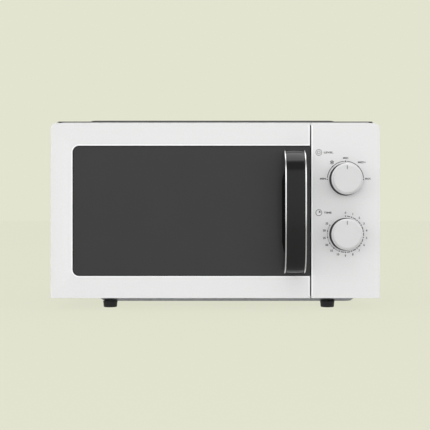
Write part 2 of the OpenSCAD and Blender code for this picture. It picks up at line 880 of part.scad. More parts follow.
module capacitor() {
    pole_y = 13;
    pole_r = 4.5;
    pole_h = 5;
    blade = [6, 0.8, 8];
    color("lightgray") {
        along_z_round(cap_cx, cap_cy, cap_w / 2, cap_h / 2, cap_r, [cap_z, cap_z + cap_l]);
        for (s = [-1, 1])
            translate([cap_cx, cap_cy + s * pole_y, cap_z + cap_l]) {
                cylinder(r = pole_r, h = pole_h);
                translate([-blade[0] / 2, -blade[1] / 2, pole_h]) cube(blade);
            }
    }
}

// The band round the capacitor, with its strap and foot on the base
module capacitor_clamp() {
    z0 = floor_z + 30;
    strap_w = 12;
    strap_y = cap_cy + cap_h / 2 + clamp_t - 0.1;
    color("silver") {
        difference() {
            along_z_round(cap_cx, cap_cy, cap_w / 2 + clamp_t, cap_h / 2 + clamp_t, cap_r + clamp_t,
                [z0, z0 + clamp_h]);
            along_z_round(cap_cx, cap_cy, cap_w / 2 + fit_gap, cap_h / 2 + fit_gap, cap_r + fit_gap,
                [z0 - 1, z0 + clamp_h + 1]);
        }
        block([cap_cx - strap_w / 2, strap_y, floor_z],
            [cap_cx + strap_w / 2, strap_y + clamp_t, z0 + clamp_h]);
        block([cap_cx - strap_w / 2, strap_y, floor_z],
            [cap_cx + strap_w / 2, strap_y + strap_w - 1, floor_z + clamp_t]);
    }
}

module diode() {
    y = cap_cy - cap_h / 2 - 14;
    z = floor_z + 8;
    lug_x0 = cap_cx + 18;
    lug_x1 = cap_cx + 24;
    color("black") {
        rod_x(y, z, 3.5, cap_cx - 12, cap_cx + 8);
        rod_x(y, z, 0.6, cap_cx - 26, lug_x1);
        block([lug_x0, y - 4, floor_z], [lug_x1, y + 4, z + 4]);
    }
}

// ---------------------------------------------------------------- fan

fan_box = 100;
fan_shaft_r = 2.5;
fan_hub_r = 14;
stator_y0 = fan_y - 38;
stator_t = 20;
stator_bore = 13;
coil_x = 15;
coil_w = 14;
coil_z0 = fan_cz - 28;
coil_z1 = fan_cz - 17;

// The fan's box with the spider that holds its motor
module fan_bracket() {
    y1 = back_y - 2 * sheet - 0.2;
    y0 = fan_y - 12;
    half = fan_box / 2;
    wall = 2;
    leg_in = 25;
    leg_r = 4;
    color("gainsboro")
        difference() {
            union() {
                block([fan_cx - half, y0, fan_cz - half], [fan_cx + half, y1, fan_cz + half]);
                for (sx = [-1, 1]) for (sz = [-1, 1])
                    rod_y(fan_cx + leg_in * sx, fan_cz + leg_in * sz, leg_r, stator_y0 + stator_t, y0);
            }
            rod_y(fan_cx, fan_cz, fan_r + 2, y0 + wall, y1 + 1);
            difference() {
                rod_y(fan_cx, fan_cz, fan_r - 4, y0 - 1, y0 + wall + 1);
                rod_y(fan_cx, fan_cz, fan_hub_r, y0 - 2, y0 + 2 * wall);
                for (a = [45, 135])
                    translate([fan_cx, y0, fan_cz])
                        rotate([0, a, 0]) cube([2 * fan_r, 4 * wall, 4 * wall], center = true);
            }
            rod_y(fan_cx, fan_cz, fan_shaft_r + run_gap, y0 - 2, y0 + 2 * wall);
        }
}

module fan_motor_core() {
    y1 = stator_y0 + stator_t;
    color("dimgray")
        difference() {
            block([fan_cx - 30, stator_y0, fan_cz - 34], [fan_cx + 30, y1, fan_cz + 30]);
            rod_y(fan_cx, fan_cz, stator_bore, stator_y0 - 1, y1 + 1);
            for (s = [-1, 1])
                translate([fan_cx + s * coil_x, 0, 0])
                    block([-coil_w / 2, stator_y0 - 1, coil_z0], [coil_w / 2, y1 + 1, coil_z1]);
        }
}

// The coil round the stator's lower bar, between the two windows
module fan_motor_coil() {
    over = 5;
    inner = coil_x - coil_w / 2;
    outer = coil_x + coil_w / 2 - 1.2;
    y1 = stator_y0 + stator_t;
    color("peru")
        difference() {
            block([fan_cx - outer, stator_y0 - over, coil_z0 + coil_gap],
                [fan_cx + outer, y1 + over, coil_z1 - coil_gap]);
            block([fan_cx - inner - 0.2, stator_y0 - 0.2, coil_z0 - 1],
                [fan_cx + inner + 0.2, y1 + 0.2, coil_z1 + 1]);
        }
}

module fan_blade() {
    hub_r = 10;
    blade_t = 1.6;
    blade_w = 18;
    pitch_angle = 32;
    color("whitesmoke")
        difference() {
            union() {
                rod_y(fan_cx, fan_cz, hub_r, fan_y - 7, fan_y + 9);
                for (a = [0:72:288])
                    translate([fan_cx, fan_y + 1, fan_cz])
                        rotate([0, a, 0])
                            translate([hub_r - 1, 0, 0])
                                rotate([pitch_angle, 0, 0])
                                    translate([0, -blade_t / 2, -blade_w / 2])
                                        cube([fan_r - hub_r - 1, blade_t, blade_w]);
            }
            rod_y(fan_cx, fan_cz, fan_shaft_r, fan_y - 8, fan_y + 6);
        }
}

// The fan's shaft with the rotor that turns in the stator
module fan_shaft() {
    color("silver") {
        rod_y(fan_cx, fan_cz, fan_shaft_r - 0.02, stator_y0 - 8, fan_y + 5.9);
        rod_y(fan_cx, fan_cz, stator_bore - 0.5, stator_y0 + 0.5, stator_y0 + stator_t - 0.5);
    }
}

// ---------------------------------------------------------------- low voltage

board_z = cabinet_top - sheet - 22;
board_t = 1.6;
board_top = board_z + board_t;
board_l = 62;
board_half_w = 30;
board_y0 = body_y + 84;
board_cx = bay_cx + 8;

module filter_board() {
    relay_h = 12.4;
    color("saddlebrown") {
        block([board_cx - board_half_w, board_y0, board_z],
            [board_cx + board_half_w, board_y0 + board_l, board_top]);
        block([board_cx - 22, board_y0 + 44, board_top], [board_cx - 2, board_y0 + 56, board_top + relay_h]);
    }
}

module filter_coil() {
    x = board_cx + 12;
    y = board_y0 + 20;
    ring_top = board_top + 10.4;
    color("orange")
        difference() {
            rod_z(x, y, 13, board_top, ring_top);
            rod_z(x, y, 5, board_top - 1, ring_top + 1);
        }
}

// The mains fuse in its two clips
module fuse() {
    fuse_y = board_y0 + 9;
    fuse_x0 = board_cx - 24;
    fuse_l = 20;
    clip_l = 5;
    clip_half_w = 2.4;
    color("white") {
        rod_x(fuse_y, board_z + 6, 2.5, fuse_x0, fuse_x0 + fuse_l);
        for (x = [fuse_x0, fuse_x0 + fuse_l - clip_l])
            block([x, fuse_y - clip_half_w, board_top], [x + clip_l, fuse_y + clip_half_w, board_top + 2.4]);
    }
}

module thermal_cutout() {
    cutout_r = 8;
    ear_l = 24;
    color("black")
        translate([cavity_cx + 70, cavity_y1 + sheet, cavity_cz + 20])
            rotate([-90, 0, 0]) {
                cylinder(r = cutout_r, h = cutout_r);
                translate([-ear_l / 2, -cutout_r / 2, 0]) cube([ear_l, cutout_r, 1]);
            }
}

board_y = body_y + sheet;

switch_out = 5.7;
switch_y0 = board_y + 6.4;
switch_y1 = board_y + 24;
switch_half_h = 14.6;
switch_gap = 0.4;
latch_board_t = 26;

// The moulded board behind the latch slots, with a pocket and a switch seat at each hook
module latch_board() {
    z0 = latch_low_z - 22;
    z1 = latch_high_z + 30;
    x1 = latch_x + 13;
    y1 = board_y + latch_board_t;
    pocket_half_w = 4.5;
    pocket_half_h = 13;
    color("whitesmoke")
        difference() {
            block([latch_x - 7, board_y + ear_gap, z0], [x1, y1, z1]);
            for (z = [latch_low_z, latch_high_z]) {
                block([latch_x - pocket_half_w, board_y - 1, z - pocket_half_h],
                    [latch_x + pocket_half_w, board_y + 22, z + pocket_half_h]);
                block([latch_x + switch_out - 0.2, switch_y0 - switch_gap, z - switch_half_h - switch_gap],
                    [x1 + 1, y1 + 1, z + switch_half_h + switch_gap]);
                // way of the switch's plunger
                block([latch_x + 3, board_y + 12, z - 3], [latch_x + 7, board_y + 16, z + 3]);
            }
            block([latch_x - 3, board_y + 3, latch_low_z + 18], [x1 + 1, y1 + 1, latch_high_z - 20]);
        }
}

module door_switches() {
    blade = [8, 0.8, 6];
    x0 = latch_x + switch_out;
    x1 = latch_x + 16;
    color("dimgray")
        for (z = [latch_low_z, latch_high_z]) {
            block([x0, switch_y0, z - switch_half_h], [x1, switch_y1, z + switch_half_h]);
            for (dz = [-9, 0, 9])
                translate([x1, board_y + 14, z + dz - blade[2] / 2]) cube(blade);
        }
}

case_y0 = front_y + shell + 9;
case_t = 34;
case_w = 56;
case_z0 = timer_z - 30;
case_z1 = power_z + 24;
case_bore_l = 14;
case_back = case_y0 + case_t;

module timer_case() {
    color("lightgray")
        difference() {
            block([dial_x - case_w / 2, case_y0, case_z0], [dial_x + case_w / 2, case_back, case_z1]);
            for (z = [power_z, timer_z])
                rod_y(dial_x, z, shaft_r + run_gap, case_y0 - 1, case_y0 + case_bore_l);
            // recess of the contacts
            block([dial_x - 18, case_back - 6, case_z0 + 34], [dial_x + 18, case_back + 1, case_z0 + 44]);
        }
}

module timer_motor() {
    z = timer_z - 2;
    ear_x = 26;
    color("gold") {
        rod_y(dial_x, z, 22, case_back, case_back + 14);
        block([dial_x - ear_x, case_back, z - 3], [dial_x + ear_x, case_back + 1.2, z + 3]);
    }
}

// The gong on its post
module timer_bell() {
    y0 = case_back;
    z = power_z - 4;
    gong_r = 17;
    post_r = 2.5;
    color("silver")
        difference() {
            union() {
                rod_y(dial_x, z, gong_r, y0 + 3, y0 + 12);
                rod_y(dial_x, z, post_r, y0, y0 + 4);
            }
            difference() {
                rod_y(dial_x, z, gong_r - 1, y0 + 2, y0 + 11);
                rod_y(dial_x, z, post_r, y0, y0 + 12);
            }
        }
}

knob_face_t = 4.9;
shaft_flat = 1;
knob_fit = 0.03;

// A dial's shaft with a flat at its front end
module dial_shaft(z) {
    y0 = front_y - knob_gap - knob_h + knob_face_t + 0.1;
    color("goldenrod")
        difference() {
            rod_y(dial_x, z, shaft_r, y0, case_y0 + case_bore_l - 1);
            block([dial_x - shaft_r, y0 - 1, z + shaft_r - shaft_flat],
                [dial_x + shaft_r, front_y - knob_gap, z + shaft_r + 1]);
        }
}

module timer_shaft() { dial_shaft(timer_z); }
module power_shaft() { dial_shaft(power_z); }

module control_panel() {
    inner_r = 0.4;
    color("white")
        difference() {
            along_y(front_y, body_y - sheet_gap)
                corner_rect(panel_x0, front_z, front_x1, front_top,
                    [seam_r, front_low_r, front_top_r, seam_r]);
            along_y(front_y + shell, body_y + 1)
                corner_rect(panel_x0 + shell, front_z + shell, front_x1 - shell, front_top - shell,
                    [inner_r, inner_r, front_top_r - shell, inner_r]);
            for (z = [power_z, timer_z]) rod_y(dial_x, z, shaft_r + 2, front_y - 1, front_y + shell + 1);
        }
    color("white")
        // posts that the timer case is screwed to
        for (z = [case_z0 + 8, case_z1 - 8]) for (s = [-1, 1])
            rod_y(dial_x + s * (case_w / 2 - 5), z, 4, front_y + shell, case_y0);
}

// A knob with a bevelled front, a pointer groove and a hollow back
module knob(z) {
    y1 = front_y - knob_gap;
    face_y = y1 - knob_h;
    flange_h = 2.2;
    draft = 0.9;
    hollow_r = knob_r - 3;
    rib_w = 1.6;
    pointer_w = 1.5;
    color("gainsboro")
        difference() {
            translate([dial_x, y1, z])
                rotate([90, 0, 0])
                    rotate_extrude($fn = 96)
                        polygon([[0, 0], [knob_r, 0], [knob_r, flange_h], [knob_r - 0.7, flange_h + 0.8],
                            [knob_r - draft, knob_h - 1.8], [knob_r - draft - 0.4, knob_h - 0.9],
                            [knob_r - draft - 1.7, knob_h], [0, knob_h]]);
            // the back is hollow around the hub
            difference() {
                rod_y(dial_x, z, hollow_r, face_y + 3, y1 + 1);
                rod_y(dial_x, z, 2 * shaft_r, face_y, y1 + 1);
                for (a = [0, 60, 120])
                    translate([dial_x, y1 - knob_h / 2, z])
                        rotate([0, a, 0]) cube([2 * knob_r, knob_h, rib_w], center = true);
            }
            // bore with its flat
            difference() {
                rod_y(dial_x, z, shaft_r + knob_fit, face_y + knob_face_t, y1 + 1);
                block([dial_x - shaft_r, face_y, z + shaft_r - shaft_flat + knob_fit],
                    [dial_x + shaft_r, y1 + 2, z + shaft_r + 1]);
            }
            block([dial_x - pointer_w / 2, face_y - 1, z + 13],
                [dial_x + pointer_w / 2, face_y + 0.6, z + 18]);
        }
}

module power_knob() { knob(power_z); }
module timer_knob() { knob(timer_z); }

// ---------------------------------------------------------------- hinges

tab_w = 14;
tab_h = 26;
tab_over = 6;
tab_t = 1.5;
pin_over = 5;

// The tab's lower edge from its ear: each tab reaches towards the middle of the front
function tab_low(z) = z < front_z + front_h / 2 ? -tab_over : hinge_lug_t + tab_over - tab_h;

// Two angles behind the front plate, each with an ear that holds a pin of the door
module hinge_brackets() {
    tab_x0 = hinge_x - 3;
    tab_y = body_y + sheet + ear_gap;
    color("silver")
        for (z = ear_z)
            difference() {
                union() {
                    block([hinge_x - ear_w / 2, hinge_y, z], [hinge_x + ear_w / 2, tab_y, z + hinge_lug_t]);
                    rod_z(hinge_x, hinge_y, ear_w / 2, z, z + hinge_lug_t);
                    block([tab_x0, tab_y, z + tab_low(z)],
                        [tab_x0 + tab_w, tab_y + tab_t, z + tab_low(z) + tab_h]);
                }
                rod_z(hinge_x, hinge_y, hinge_pin_r + run_gap, z - 1, z + hinge_lug_t + 1);
            }
}

// The pin through one ear
module hinge_pin(z) {
    rod_z(hinge_x, hinge_y, hinge_pin_r, z - pin_over, z + hinge_lug_t + pin_over);
}

module hinge_pins() {
    color("silver") for (z = ear_z) hinge_pin(z);
}

// ---------------------------------------------------------------- door

// The door's outline seen from above, with its hinge side turned round the pin
module door_plan() {
    difference() {
        translate([front_x0, front_y]) square([door_x1 - front_x0, door_t]);
        difference() {
            translate([front_x0 - 1, hinge_y]) square([hinge_in + 1, hinge_back + 1]);
            translate([hinge_x, hinge_y]) circle(hinge_in);
        }
    }
}

shield_y = front_y + shell + pane_t + 4;
shield_x0 = hinge_x + hinge_in + 5;
shield_x1 = door_x1 - 17;
shield_z0 = front_z + 8;
shield_z1 = front_top - 8;
view_r = 4;
ledge = 3;
cover_t = 2;
cover_y = door_back_y - cover_t;
handle_screw_z = [handle_cz - handle_l / 2 + handle_screw_in, handle_cz + handle_l / 2 - handle_screw_in];
screw_hole_r = handle_screw_r + 0.3;

module door_frame() {
    color("white")
        difference() {
            union() {
                difference() {
                    intersection() {
                        along_y(front_y, door_back_y)
                            corner_rect(front_x0, front_z, door_x1, front_top,
                                [front_low_r, seam_r, seam_r, front_top_r]);
                        translate([0, 0, front_z - 1]) linear_extrude(front_h + 2) door_plan();
                    }
                    // hollow back
                    along_y(front_y + shell, door_back_y + 1)
                        corner_rect(hinge_x + hinge_in, front_z + shell, door_x1 - shell,
                            front_top - shell, [1, 1, 1, 1]);
                    // room for the hinge ears
                    for (z = ear_z) hinge_slot(z);
                }
                // ledge behind the pane
                along_y(front_y + shell - eps, front_y + shell + pane_t)
                    corner_rect(window_x0 - ledge, window_z0 - ledge, door_x1 - shell + eps,
                        window_z1 + ledge, [ledge, 0, 0, ledge]);
            }
            // pocket of the pane, open at the door's right edge
            along_y(front_y - 1, front_y + pane_t)
                corner_rect(window_x0, window_z0, door_x1 + 1, window_z1, [window_r, 0, 0, window_r]);
            along_y(front_y, front_y + shell + pane_t + 1)
                corner_rect(view_x0, view_z0, view_x1, view_z1, [view_r, view_r, view_r, view_r]);
            for (z = handle_screw_z)
                rod_y(handle_cx, z, screw_hole_r, front_y, front_y + shell + pane_t + 1);
            for (z = ear_z) hinge_pin(z);
        }
}

// Room in the door for one hinge ear as the door turns past it
module hinge_slot(z) {
    gap = 1;
    sweep_r = norm([ear_w / 2, hinge_back + door_gap]) + free_gap;
    translate([0, 0, z - gap])
        linear_extrude(hinge_lug_t + 2 * gap) {
            translate([hinge_x, hinge_y]) circle(sweep_r);
            translate([hinge_x - sweep_r, hinge_y]) square([2 * sweep_r, hinge_back + 1]);
        }
}

module window_pane() {
    clear = 0.15;
    color("dimgray")
        difference() {
            along_y(front_y, front_y + pane_t)
                corner_rect(window_x0 + clear, window_z0 + clear, door_x1, window_z1 - clear,
                    [window_r - clear, 0.5, 0.5, window_r - clear]);
            for (z = handle_screw_z) rod_y(handle_cx, z, screw_hole_r, front_y - 1, front_y + pane_t + 1);
        }
}

// Pressed steel screen with its folded choke rim
module door_shield() {
    rim = 9;
    choke_y1 = cover_y - 0.2;
    corner_r = 2;
    bend_r = corner_r - sheet / 2;
    step_r = 5;
    access_r = 5;
    color("gray")
        difference() {
            union() {
                along_y(shield_y, shield_y + sheet)
                    corner_rect(shield_x0, shield_z0, shield_x1, shield_z1,
                        [corner_r, corner_r, corner_r, corner_r]);
                along_y(shield_y, choke_y1)
                    difference() {
                        corner_rect(shield_x0, shield_z0, shield_x1, shield_z1,
                            [corner_r, corner_r, corner_r, corner_r]);
                        corner_rect(shield_x0 + sheet, shield_z0 + sheet, shield_x1 - sheet,
                            shield_z1 - sheet, [bend_r, bend_r, bend_r, bend_r]);
                    }
                // step that stands into the oven's mouth
                along_y(shield_y, choke_y1)
                    difference() {
                        corner_rect(view_x0 - rim, view_z0 - rim, view_x1 + rim, view_z1 + rim,
                            [step_r, step_r, step_r, step_r]);
                        corner_rect(view_x0 - rim + sheet, view_z0 - rim + sheet, view_x1 + rim - sheet,
                            view_z1 + rim - sheet, [step_r - 1, step_r - 1, step_r - 1, step_r - 1]);
                    }
            }
            for (z = handle_screw_z) rod_y(handle_cx, z, access_r, shield_y - 1, shield_y + 2);
        }
}

// Inner moulding that covers the choke
module choke_cover() {
    cover_gap = 0.3;
    color("darkslategray")
        difference() {
            along_y(cover_y, door_back_y)
                corner_rect(hinge_x + hinge_in + 1, front_z + shell + cover_gap,
                    door_x1 - shell - cover_gap, front_top - shell - cover_gap, [1, 1, 1, 1]);
            along_y(cover_y - 1, door_back_y + 1)
                corner_rect(view_x0, view_z0, view_x1, view_z1, [view_r, view_r, view_r, view_r]);
            for (z = [latch_low_z, latch_high_z])
                block([latch_x - 3, cover_y - 1, z - slot_h / 2],
                    [latch_x + 3, door_back_y + 1, z + slot_h / 2]);
            for (z = ear_z) hinge_slot(z);
        }
}

hook_out = 13;
hook_nose = 3;
bar_y1 = cover_y - 1;
bar_y0 = bar_y1 - 7;
bar_z0 = latch_low_z - 9;
bar_z1 = latch_high_z + 9;

// Two hooks on one upright bar, which the spring holds down
module latch_hook() {
    tip_y = body_y + hook_out;
    throat_y = tip_y - 4;
    pin_r = 1.4;
    pin_l = 8;
    color("ivory") {
        block([latch_x - latch_t / 2, bar_y0, bar_z0], [latch_x + latch_t / 2, bar_y1, bar_z1]);
        for (z = [latch_low_z, latch_high_z])
            along_x(latch_x - latch_t / 2, latch_x + latch_t / 2)
                polygon([[bar_y1, z - 6], [throat_y, z - 6], [throat_y, z - 6 - hook_nose],
                    [tip_y - 1, z - 6 - hook_nose], [tip_y, z - 4], [throat_y, z + 2], [bar_y1, z + 4]]);
        rod_z(latch_x, (bar_y0 + bar_y1) / 2, pin_r, bar_z1, bar_z1 + pin_l);
    }
}

spring_l = 24;
spring_r = 2.8;
spring_bore_r = 1.9;

module latch_spring() {
    color("silver")
        translate([latch_x, (bar_y0 + bar_y1) / 2, bar_z1 + 0.1])
            difference() {
                cylinder(r = spring_r, h = spring_l);
                translate([0, 0, -1]) cylinder(r = spring_bore_r, h = spring_l + 2);
            }
}

// The bow's outline is flat in the middle and steep at its ends
bow_power = 5;
bow_root = 2.2;
pad_in = 0.4;
lip_w = 3;

// How far the handle stands out at a height along it, from -1 to 1
function bow_out(u, out) = out * pow(max(0, 1 - pow(abs(u), bow_power)), 1 / bow_root);

// The handle's side view between two distances from the door, in Y and Z
function bow_line(out, half) = [
    for (i = [0:handle_steps])
        let (u = cos(180 * i / handle_steps))
            [front_y - bow_out(u, out), handle_cz + half * u]
];

// The outline between an outer and an inner bow
module bow(out, inner_out, half, inner_half) {
    difference() {
        polygon(bow_line(out, half));
        polygon(bow_line(inner_out, inner_half));
    }
}

module handle_bar() {
    half = handle_l / 2;
    foot_l = 18;
    lip_y = front_y - handle_out + handle_t;
    lip_z0 = half - 1.4 * foot_l;
    lip_z1 = half - 2.6 * foot_l;
    color("black")
        difference() {
            union() {
                along_x(handle_x0, handle_x1)
                    bow(handle_out - trim_t, handle_out - handle_t, half - trim_t, half - foot_l);
                along_x(handle_x0 + trim_w, handle_x1 - trim_w)
                    bow(handle_out - pad_in, handle_out - trim_t - 1, half - pad_in, half - trim_t - 1);
                // lip that the fingertips pull on
                along_y(lip_y - lip_w, lip_y + 2)
                    polygon([[handle_x0 + 1, handle_cz - lip_z0],
                        [handle_x0 - lip_w, handle_cz - lip_z1], [handle_x0 - lip_w, handle_cz + lip_z1],
                        [handle_x0 + 1, handle_cz + lip_z0]]);
            }
            for (z = handle_screw_z)
                rod_y(handle_cx, z, handle_screw_r + fit_gap, front_y - handle_screw_l - 0.5, front_y + 1);
        }
}

module handle_trims() {
    half = handle_l / 2;
    color("silver")
        for (x = [handle_x0, handle_x1 - trim_w])
            along_x(x, x + trim_w) bow(handle_out, handle_out - trim_t, half, half - trim_t);
}

module handle_screws() {
    y = front_y + shell + pane_t;
    head_r = 3.8;
    head_h = 2.4;
    color("silver")
        for (z = handle_screw_z) {
            rod_y(handle_cx, z, handle_screw_r, front_y - handle_screw_l, y);
            difference() {
                rod_y(handle_cx, z, head_r, y, y + head_h);
                for (a = [0, 90])
                    translate([handle_cx, y + head_h, z])
                        rotate([0, a, 0]) cube([5, head_h, 0.9], center = true);
            }
        }
}

outer_cabinet();
base_plate();
rear_panel();
front_feet();
rear_feet();
cabinet_screws();
cord_inlet();
oven_cavity();
waveguide();
waveguide_cover();
lamp_holder();
lamp_bulb();
turntable_motor();
turntable_coupler();
glass_tray();
roller_ring();
roller_1();
roller_2();
roller_3();
magnetron_yoke();
magnetron_fins();
magnetron_antenna();
magnetron_filter_box();
transformer_core();
transformer_windings();
capacitor();
capacitor_clamp();
diode();
fan_bracket();
fan_motor_core();
fan_motor_coil();
fan_blade();
fan_shaft();
filter_board();
filter_coil();
fuse();
thermal_cutout();
latch_board();
door_switches();
timer_case();
timer_motor();
timer_bell();
timer_shaft();
power_shaft();
control_panel();
power_knob();
timer_knob();
hinge_brackets();
hinge_pins();
door_frame();
window_pane();
door_shield();
choke_cover();
latch_hook();
latch_spring();
handle_bar();
handle_trims();
handle_screws();
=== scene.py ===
"""The looks of a countertop microwave oven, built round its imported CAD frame.

Lengths are in metres. The front faces -Y, +X is to the right and +Z is up.
"""

import json
import math

import bmesh
import bpy
from bpy.props import FloatProperty, FloatVectorProperty, IntProperty, PointerProperty
from mathutils import Matrix, Vector


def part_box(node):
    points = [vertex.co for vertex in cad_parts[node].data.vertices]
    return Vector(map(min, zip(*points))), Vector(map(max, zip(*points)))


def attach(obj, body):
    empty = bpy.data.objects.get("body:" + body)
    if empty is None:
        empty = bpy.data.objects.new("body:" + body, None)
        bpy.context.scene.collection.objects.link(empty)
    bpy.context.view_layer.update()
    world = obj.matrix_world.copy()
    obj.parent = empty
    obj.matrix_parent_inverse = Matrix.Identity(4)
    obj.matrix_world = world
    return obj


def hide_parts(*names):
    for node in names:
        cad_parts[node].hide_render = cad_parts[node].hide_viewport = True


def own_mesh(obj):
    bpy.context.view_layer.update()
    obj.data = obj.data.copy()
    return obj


bl_info = {
    "name": "Microwave Oven",
    "version": (1, 0, 0),
    "blender": (4, 5, 0),
    "location": "View3D > Sidebar > Oven",
    "description": "Builds the visible pieces and finishes of a countertop microwave oven",
    "category": "Object",
}

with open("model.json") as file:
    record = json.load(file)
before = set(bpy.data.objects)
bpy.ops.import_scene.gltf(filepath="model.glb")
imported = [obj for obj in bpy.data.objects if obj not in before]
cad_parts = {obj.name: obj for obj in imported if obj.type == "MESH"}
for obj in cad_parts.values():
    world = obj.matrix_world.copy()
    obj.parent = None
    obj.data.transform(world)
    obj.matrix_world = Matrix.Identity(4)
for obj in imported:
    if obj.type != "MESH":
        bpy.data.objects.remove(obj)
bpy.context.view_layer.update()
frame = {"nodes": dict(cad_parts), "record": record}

MM = 0.001

# Measures of the CAD part that the pieces follow
WINDOW_RADIUS = 8.8 * MM
SHEET = 0.8 * MM
STEP_HEIGHT = 4.4 * MM
FOOT_HEIGHT = 8.3 * MM
# How far below the cabinet's top the painted shade on the pressed step's slopes begins
STEP_SHADE_DEPTH = 5.4 * MM
# Vertices closer than this are one
SAME_PLACE = 2e-6

# Printing: its depth, a capital's share of the font size, and where the level and time signs sit
PRINT_DEPTH = 0.05 * MM
CAPITAL_SHARE = 0.7
SIGN_X = 138.5 * MM
TIME_X = 150.4 * MM
LEVEL_UP = 35.9 * MM
TIME_UP = 28.8 * MM

# The handle's bow: how square its side view is, how its ends turn in, its ring count,
# the gap beside each trim and the angle in degrees up to which it is shaded smooth
BOW_POWER = 5
BOW_ROOT = 2.2
BOW_STEPS = 96
TRIM_GAP = 0.25 * MM
HANDLE_ANGLE = 40

# Camera in metres, its lens in millimetres, and the height that the lights look at
CAMERA_LENS = 81.4
CAMERA_SIDE = -0.3 * MM
CAMERA_DISTANCE = 1.3
CAMERA_HEIGHT = 127.8 * MM
OVEN_MIDDLE = 0.12

# Studio light: powers in watts, and how bright the surroundings are
SIDE_LIGHT = 2.0
TOP_LIGHT = 1.0
FRONT_LIGHT = 15.0
FLOOR_GLOW = 0.5
SHADOW_SHARE = 0.1
WORLD_TOP = 2.2
WORLD_SIDE = 0.9

# Sockets of a colour Mix node, and how far a roughness varies either way
MIX_FACTOR = 0
MIX_LOW = 6
MIX_HIGH = 7
MIX_RESULT = 2
ROUGH_SPREAD = 0.06
# How far apart the bands of a wave texture of scale 1 lie
WAVE_PERIOD = math.pi / 10


def linear(colour):
    """An sRGB hex colour as linear red, green and blue."""
    parts = [int(colour[i : i + 2], 16) / 255 for i in (0, 2, 4)]
    return tuple(c / 12.92 if c <= 0.04045 else ((c + 0.055) / 1.055) ** 2.4 for c in parts)


# ------------------------------------------------------------------ places read from the frame

DOOR_LOW, DOOR_HIGH = (Vector(c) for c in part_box("door_frame"))
PANEL_LOW, PANEL_HIGH = (Vector(c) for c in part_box("control_panel"))
HANDLE_LOW, HANDLE_HIGH = (Vector(c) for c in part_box("handle_trims"))
PANE_LOW, PANE_HIGH = (Vector(c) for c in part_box("window_pane"))
FRONT_Y = DOOR_LOW.y
CABINET_HIGH = Vector(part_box("outer_cabinet")[1])


def centre(node):
    """The middle of a CAD node's box."""
    low, high = (Vector(c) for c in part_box(node))
    return (low + high) / 2


POWER = centre("power_knob")
TIMER = centre("timer_knob")
KNOB_LOW, KNOB_HIGH = (Vector(c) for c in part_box("power_knob"))


# ------------------------------------------------------------------ settings


class OVEN_PG_sizes(bpy.types.PropertyGroup):
    """Sizes of the pieces that Blender shapes."""

    edge: FloatProperty(
        name="Moulded edge", description="Rounding of the front's edges", default=0.7 * MM, unit="LENGTH"
    )
    # The width of the painted highlight and painted shade lines along the window and the seam
    window_edge: FloatProperty(
        name="Window edge", description="Width of the window's edge lines", default=1.6 * MM, unit="LENGTH"
    )
    sheet_edge: FloatProperty(
        name="Sheet edge", description="Rounding of cut sheet edges", default=0.15 * MM, unit="LENGTH"
    )
    trim_width: FloatProperty(
        name="Trim width", description="Width of each bright trim", default=1.8 * MM, unit="LENGTH"
    )
    trim_depth: FloatProperty(
        name="Trim depth", description="Depth of each bright trim", default=4 * MM, unit="LENGTH"
    )
    bow_thickness: FloatProperty(
        name="Bow thickness", description="Thickness of the handle's bow", default=11 * MM, unit="LENGTH"
    )
    lip: FloatProperty(
        name="Finger lip", description="How far the handle's lip stands out", default=3.6 * MM, unit="LENGTH"
    )
    scale_radius: FloatProperty(
        name="Scale radius", description="Radius of the printed arcs", default=24.2 * MM, unit="LENGTH"
    )
    number_radius: FloatProperty(
        name="Number radius", description="Radius of the numbers' middles", default=28.7 * MM, unit="LENGTH"
    )
    number_height: FloatProperty(
        name="Number height", description="Height of the printed numbers", default=2.7 * MM, unit="LENGTH"
    )
    hole_pitch: FloatProperty(
        name="Hole pitch", description="Distance between the screen's holes", default=3.0 * MM, unit="LENGTH"
    )
    hole_radius: FloatProperty(
        name="Hole radius", description="Radius of the screen's holes", default=1.05 * MM, unit="LENGTH"
    )
    turns: IntProperty(name="Spring turns", description="Turns of the latch spring", default=9)


def colour_setting(name, description, value):
    """A colour setting whose default is an sRGB hex value."""
    return FloatVectorProperty(
        name=name, description=description, subtype="COLOR", size=3, min=0, max=1, default=linear(value)
    )


class OVEN_PG_colours(bpy.types.PropertyGroup):
    """Colours of the oven's finishes."""

    front: colour_setting("Front", "White moulded fronts", "E9E9E9")
    knob: colour_setting("Knob", "Knob faces", "D8D8D8")
    window: colour_setting("Window", "Smoked window pane", "2E2E2E")
    handle: colour_setting("Handle", "Black handle", "090909")
    chrome: colour_setting("Chrome", "Bright trims", "E4E4E4")
    ink: colour_setting("Ink", "Printed scales", "4A4A4A")
    cabinet: colour_setting("Cabinet", "Cabinet paint", "C4C4C3")
    zinc: colour_setting("Zinc", "Galvanised sheet", "B4B6B6")
    oven: colour_setting("Oven", "Oven paint", "CFCCC4")
    rubber: colour_setting("Feet", "Rubber feet", "1C1C1C")
    backdrop: colour_setting("Backdrop", "Floor and background", "E3E4D0")


class OVEN_PG_settings(bpy.types.PropertyGroup):
    """All settings of the oven."""

    sizes: PointerProperty(type=OVEN_PG_sizes)
    colours: PointerProperty(type=OVEN_PG_colours)


def sizes():
    """The size settings."""
    return bpy.context.scene.oven.sizes


def colours():
    """The colour settings."""
    return bpy.context.scene.oven.colours


# ------------------------------------------------------------------ materials


def add(tree, kind, inputs=None, links=None, **settings):
    """Adds a node with its settings, socket values and incoming links."""
    node = tree.nodes.new(kind)
    for key, value in settings.items():
        setattr(node, key, value)
    for key, value in (inputs or {}).items():
        node.inputs[key].default_value = value
    for key, socket in (links or {}).items():
        tree.links.new(socket, node.inputs[key])
    return node


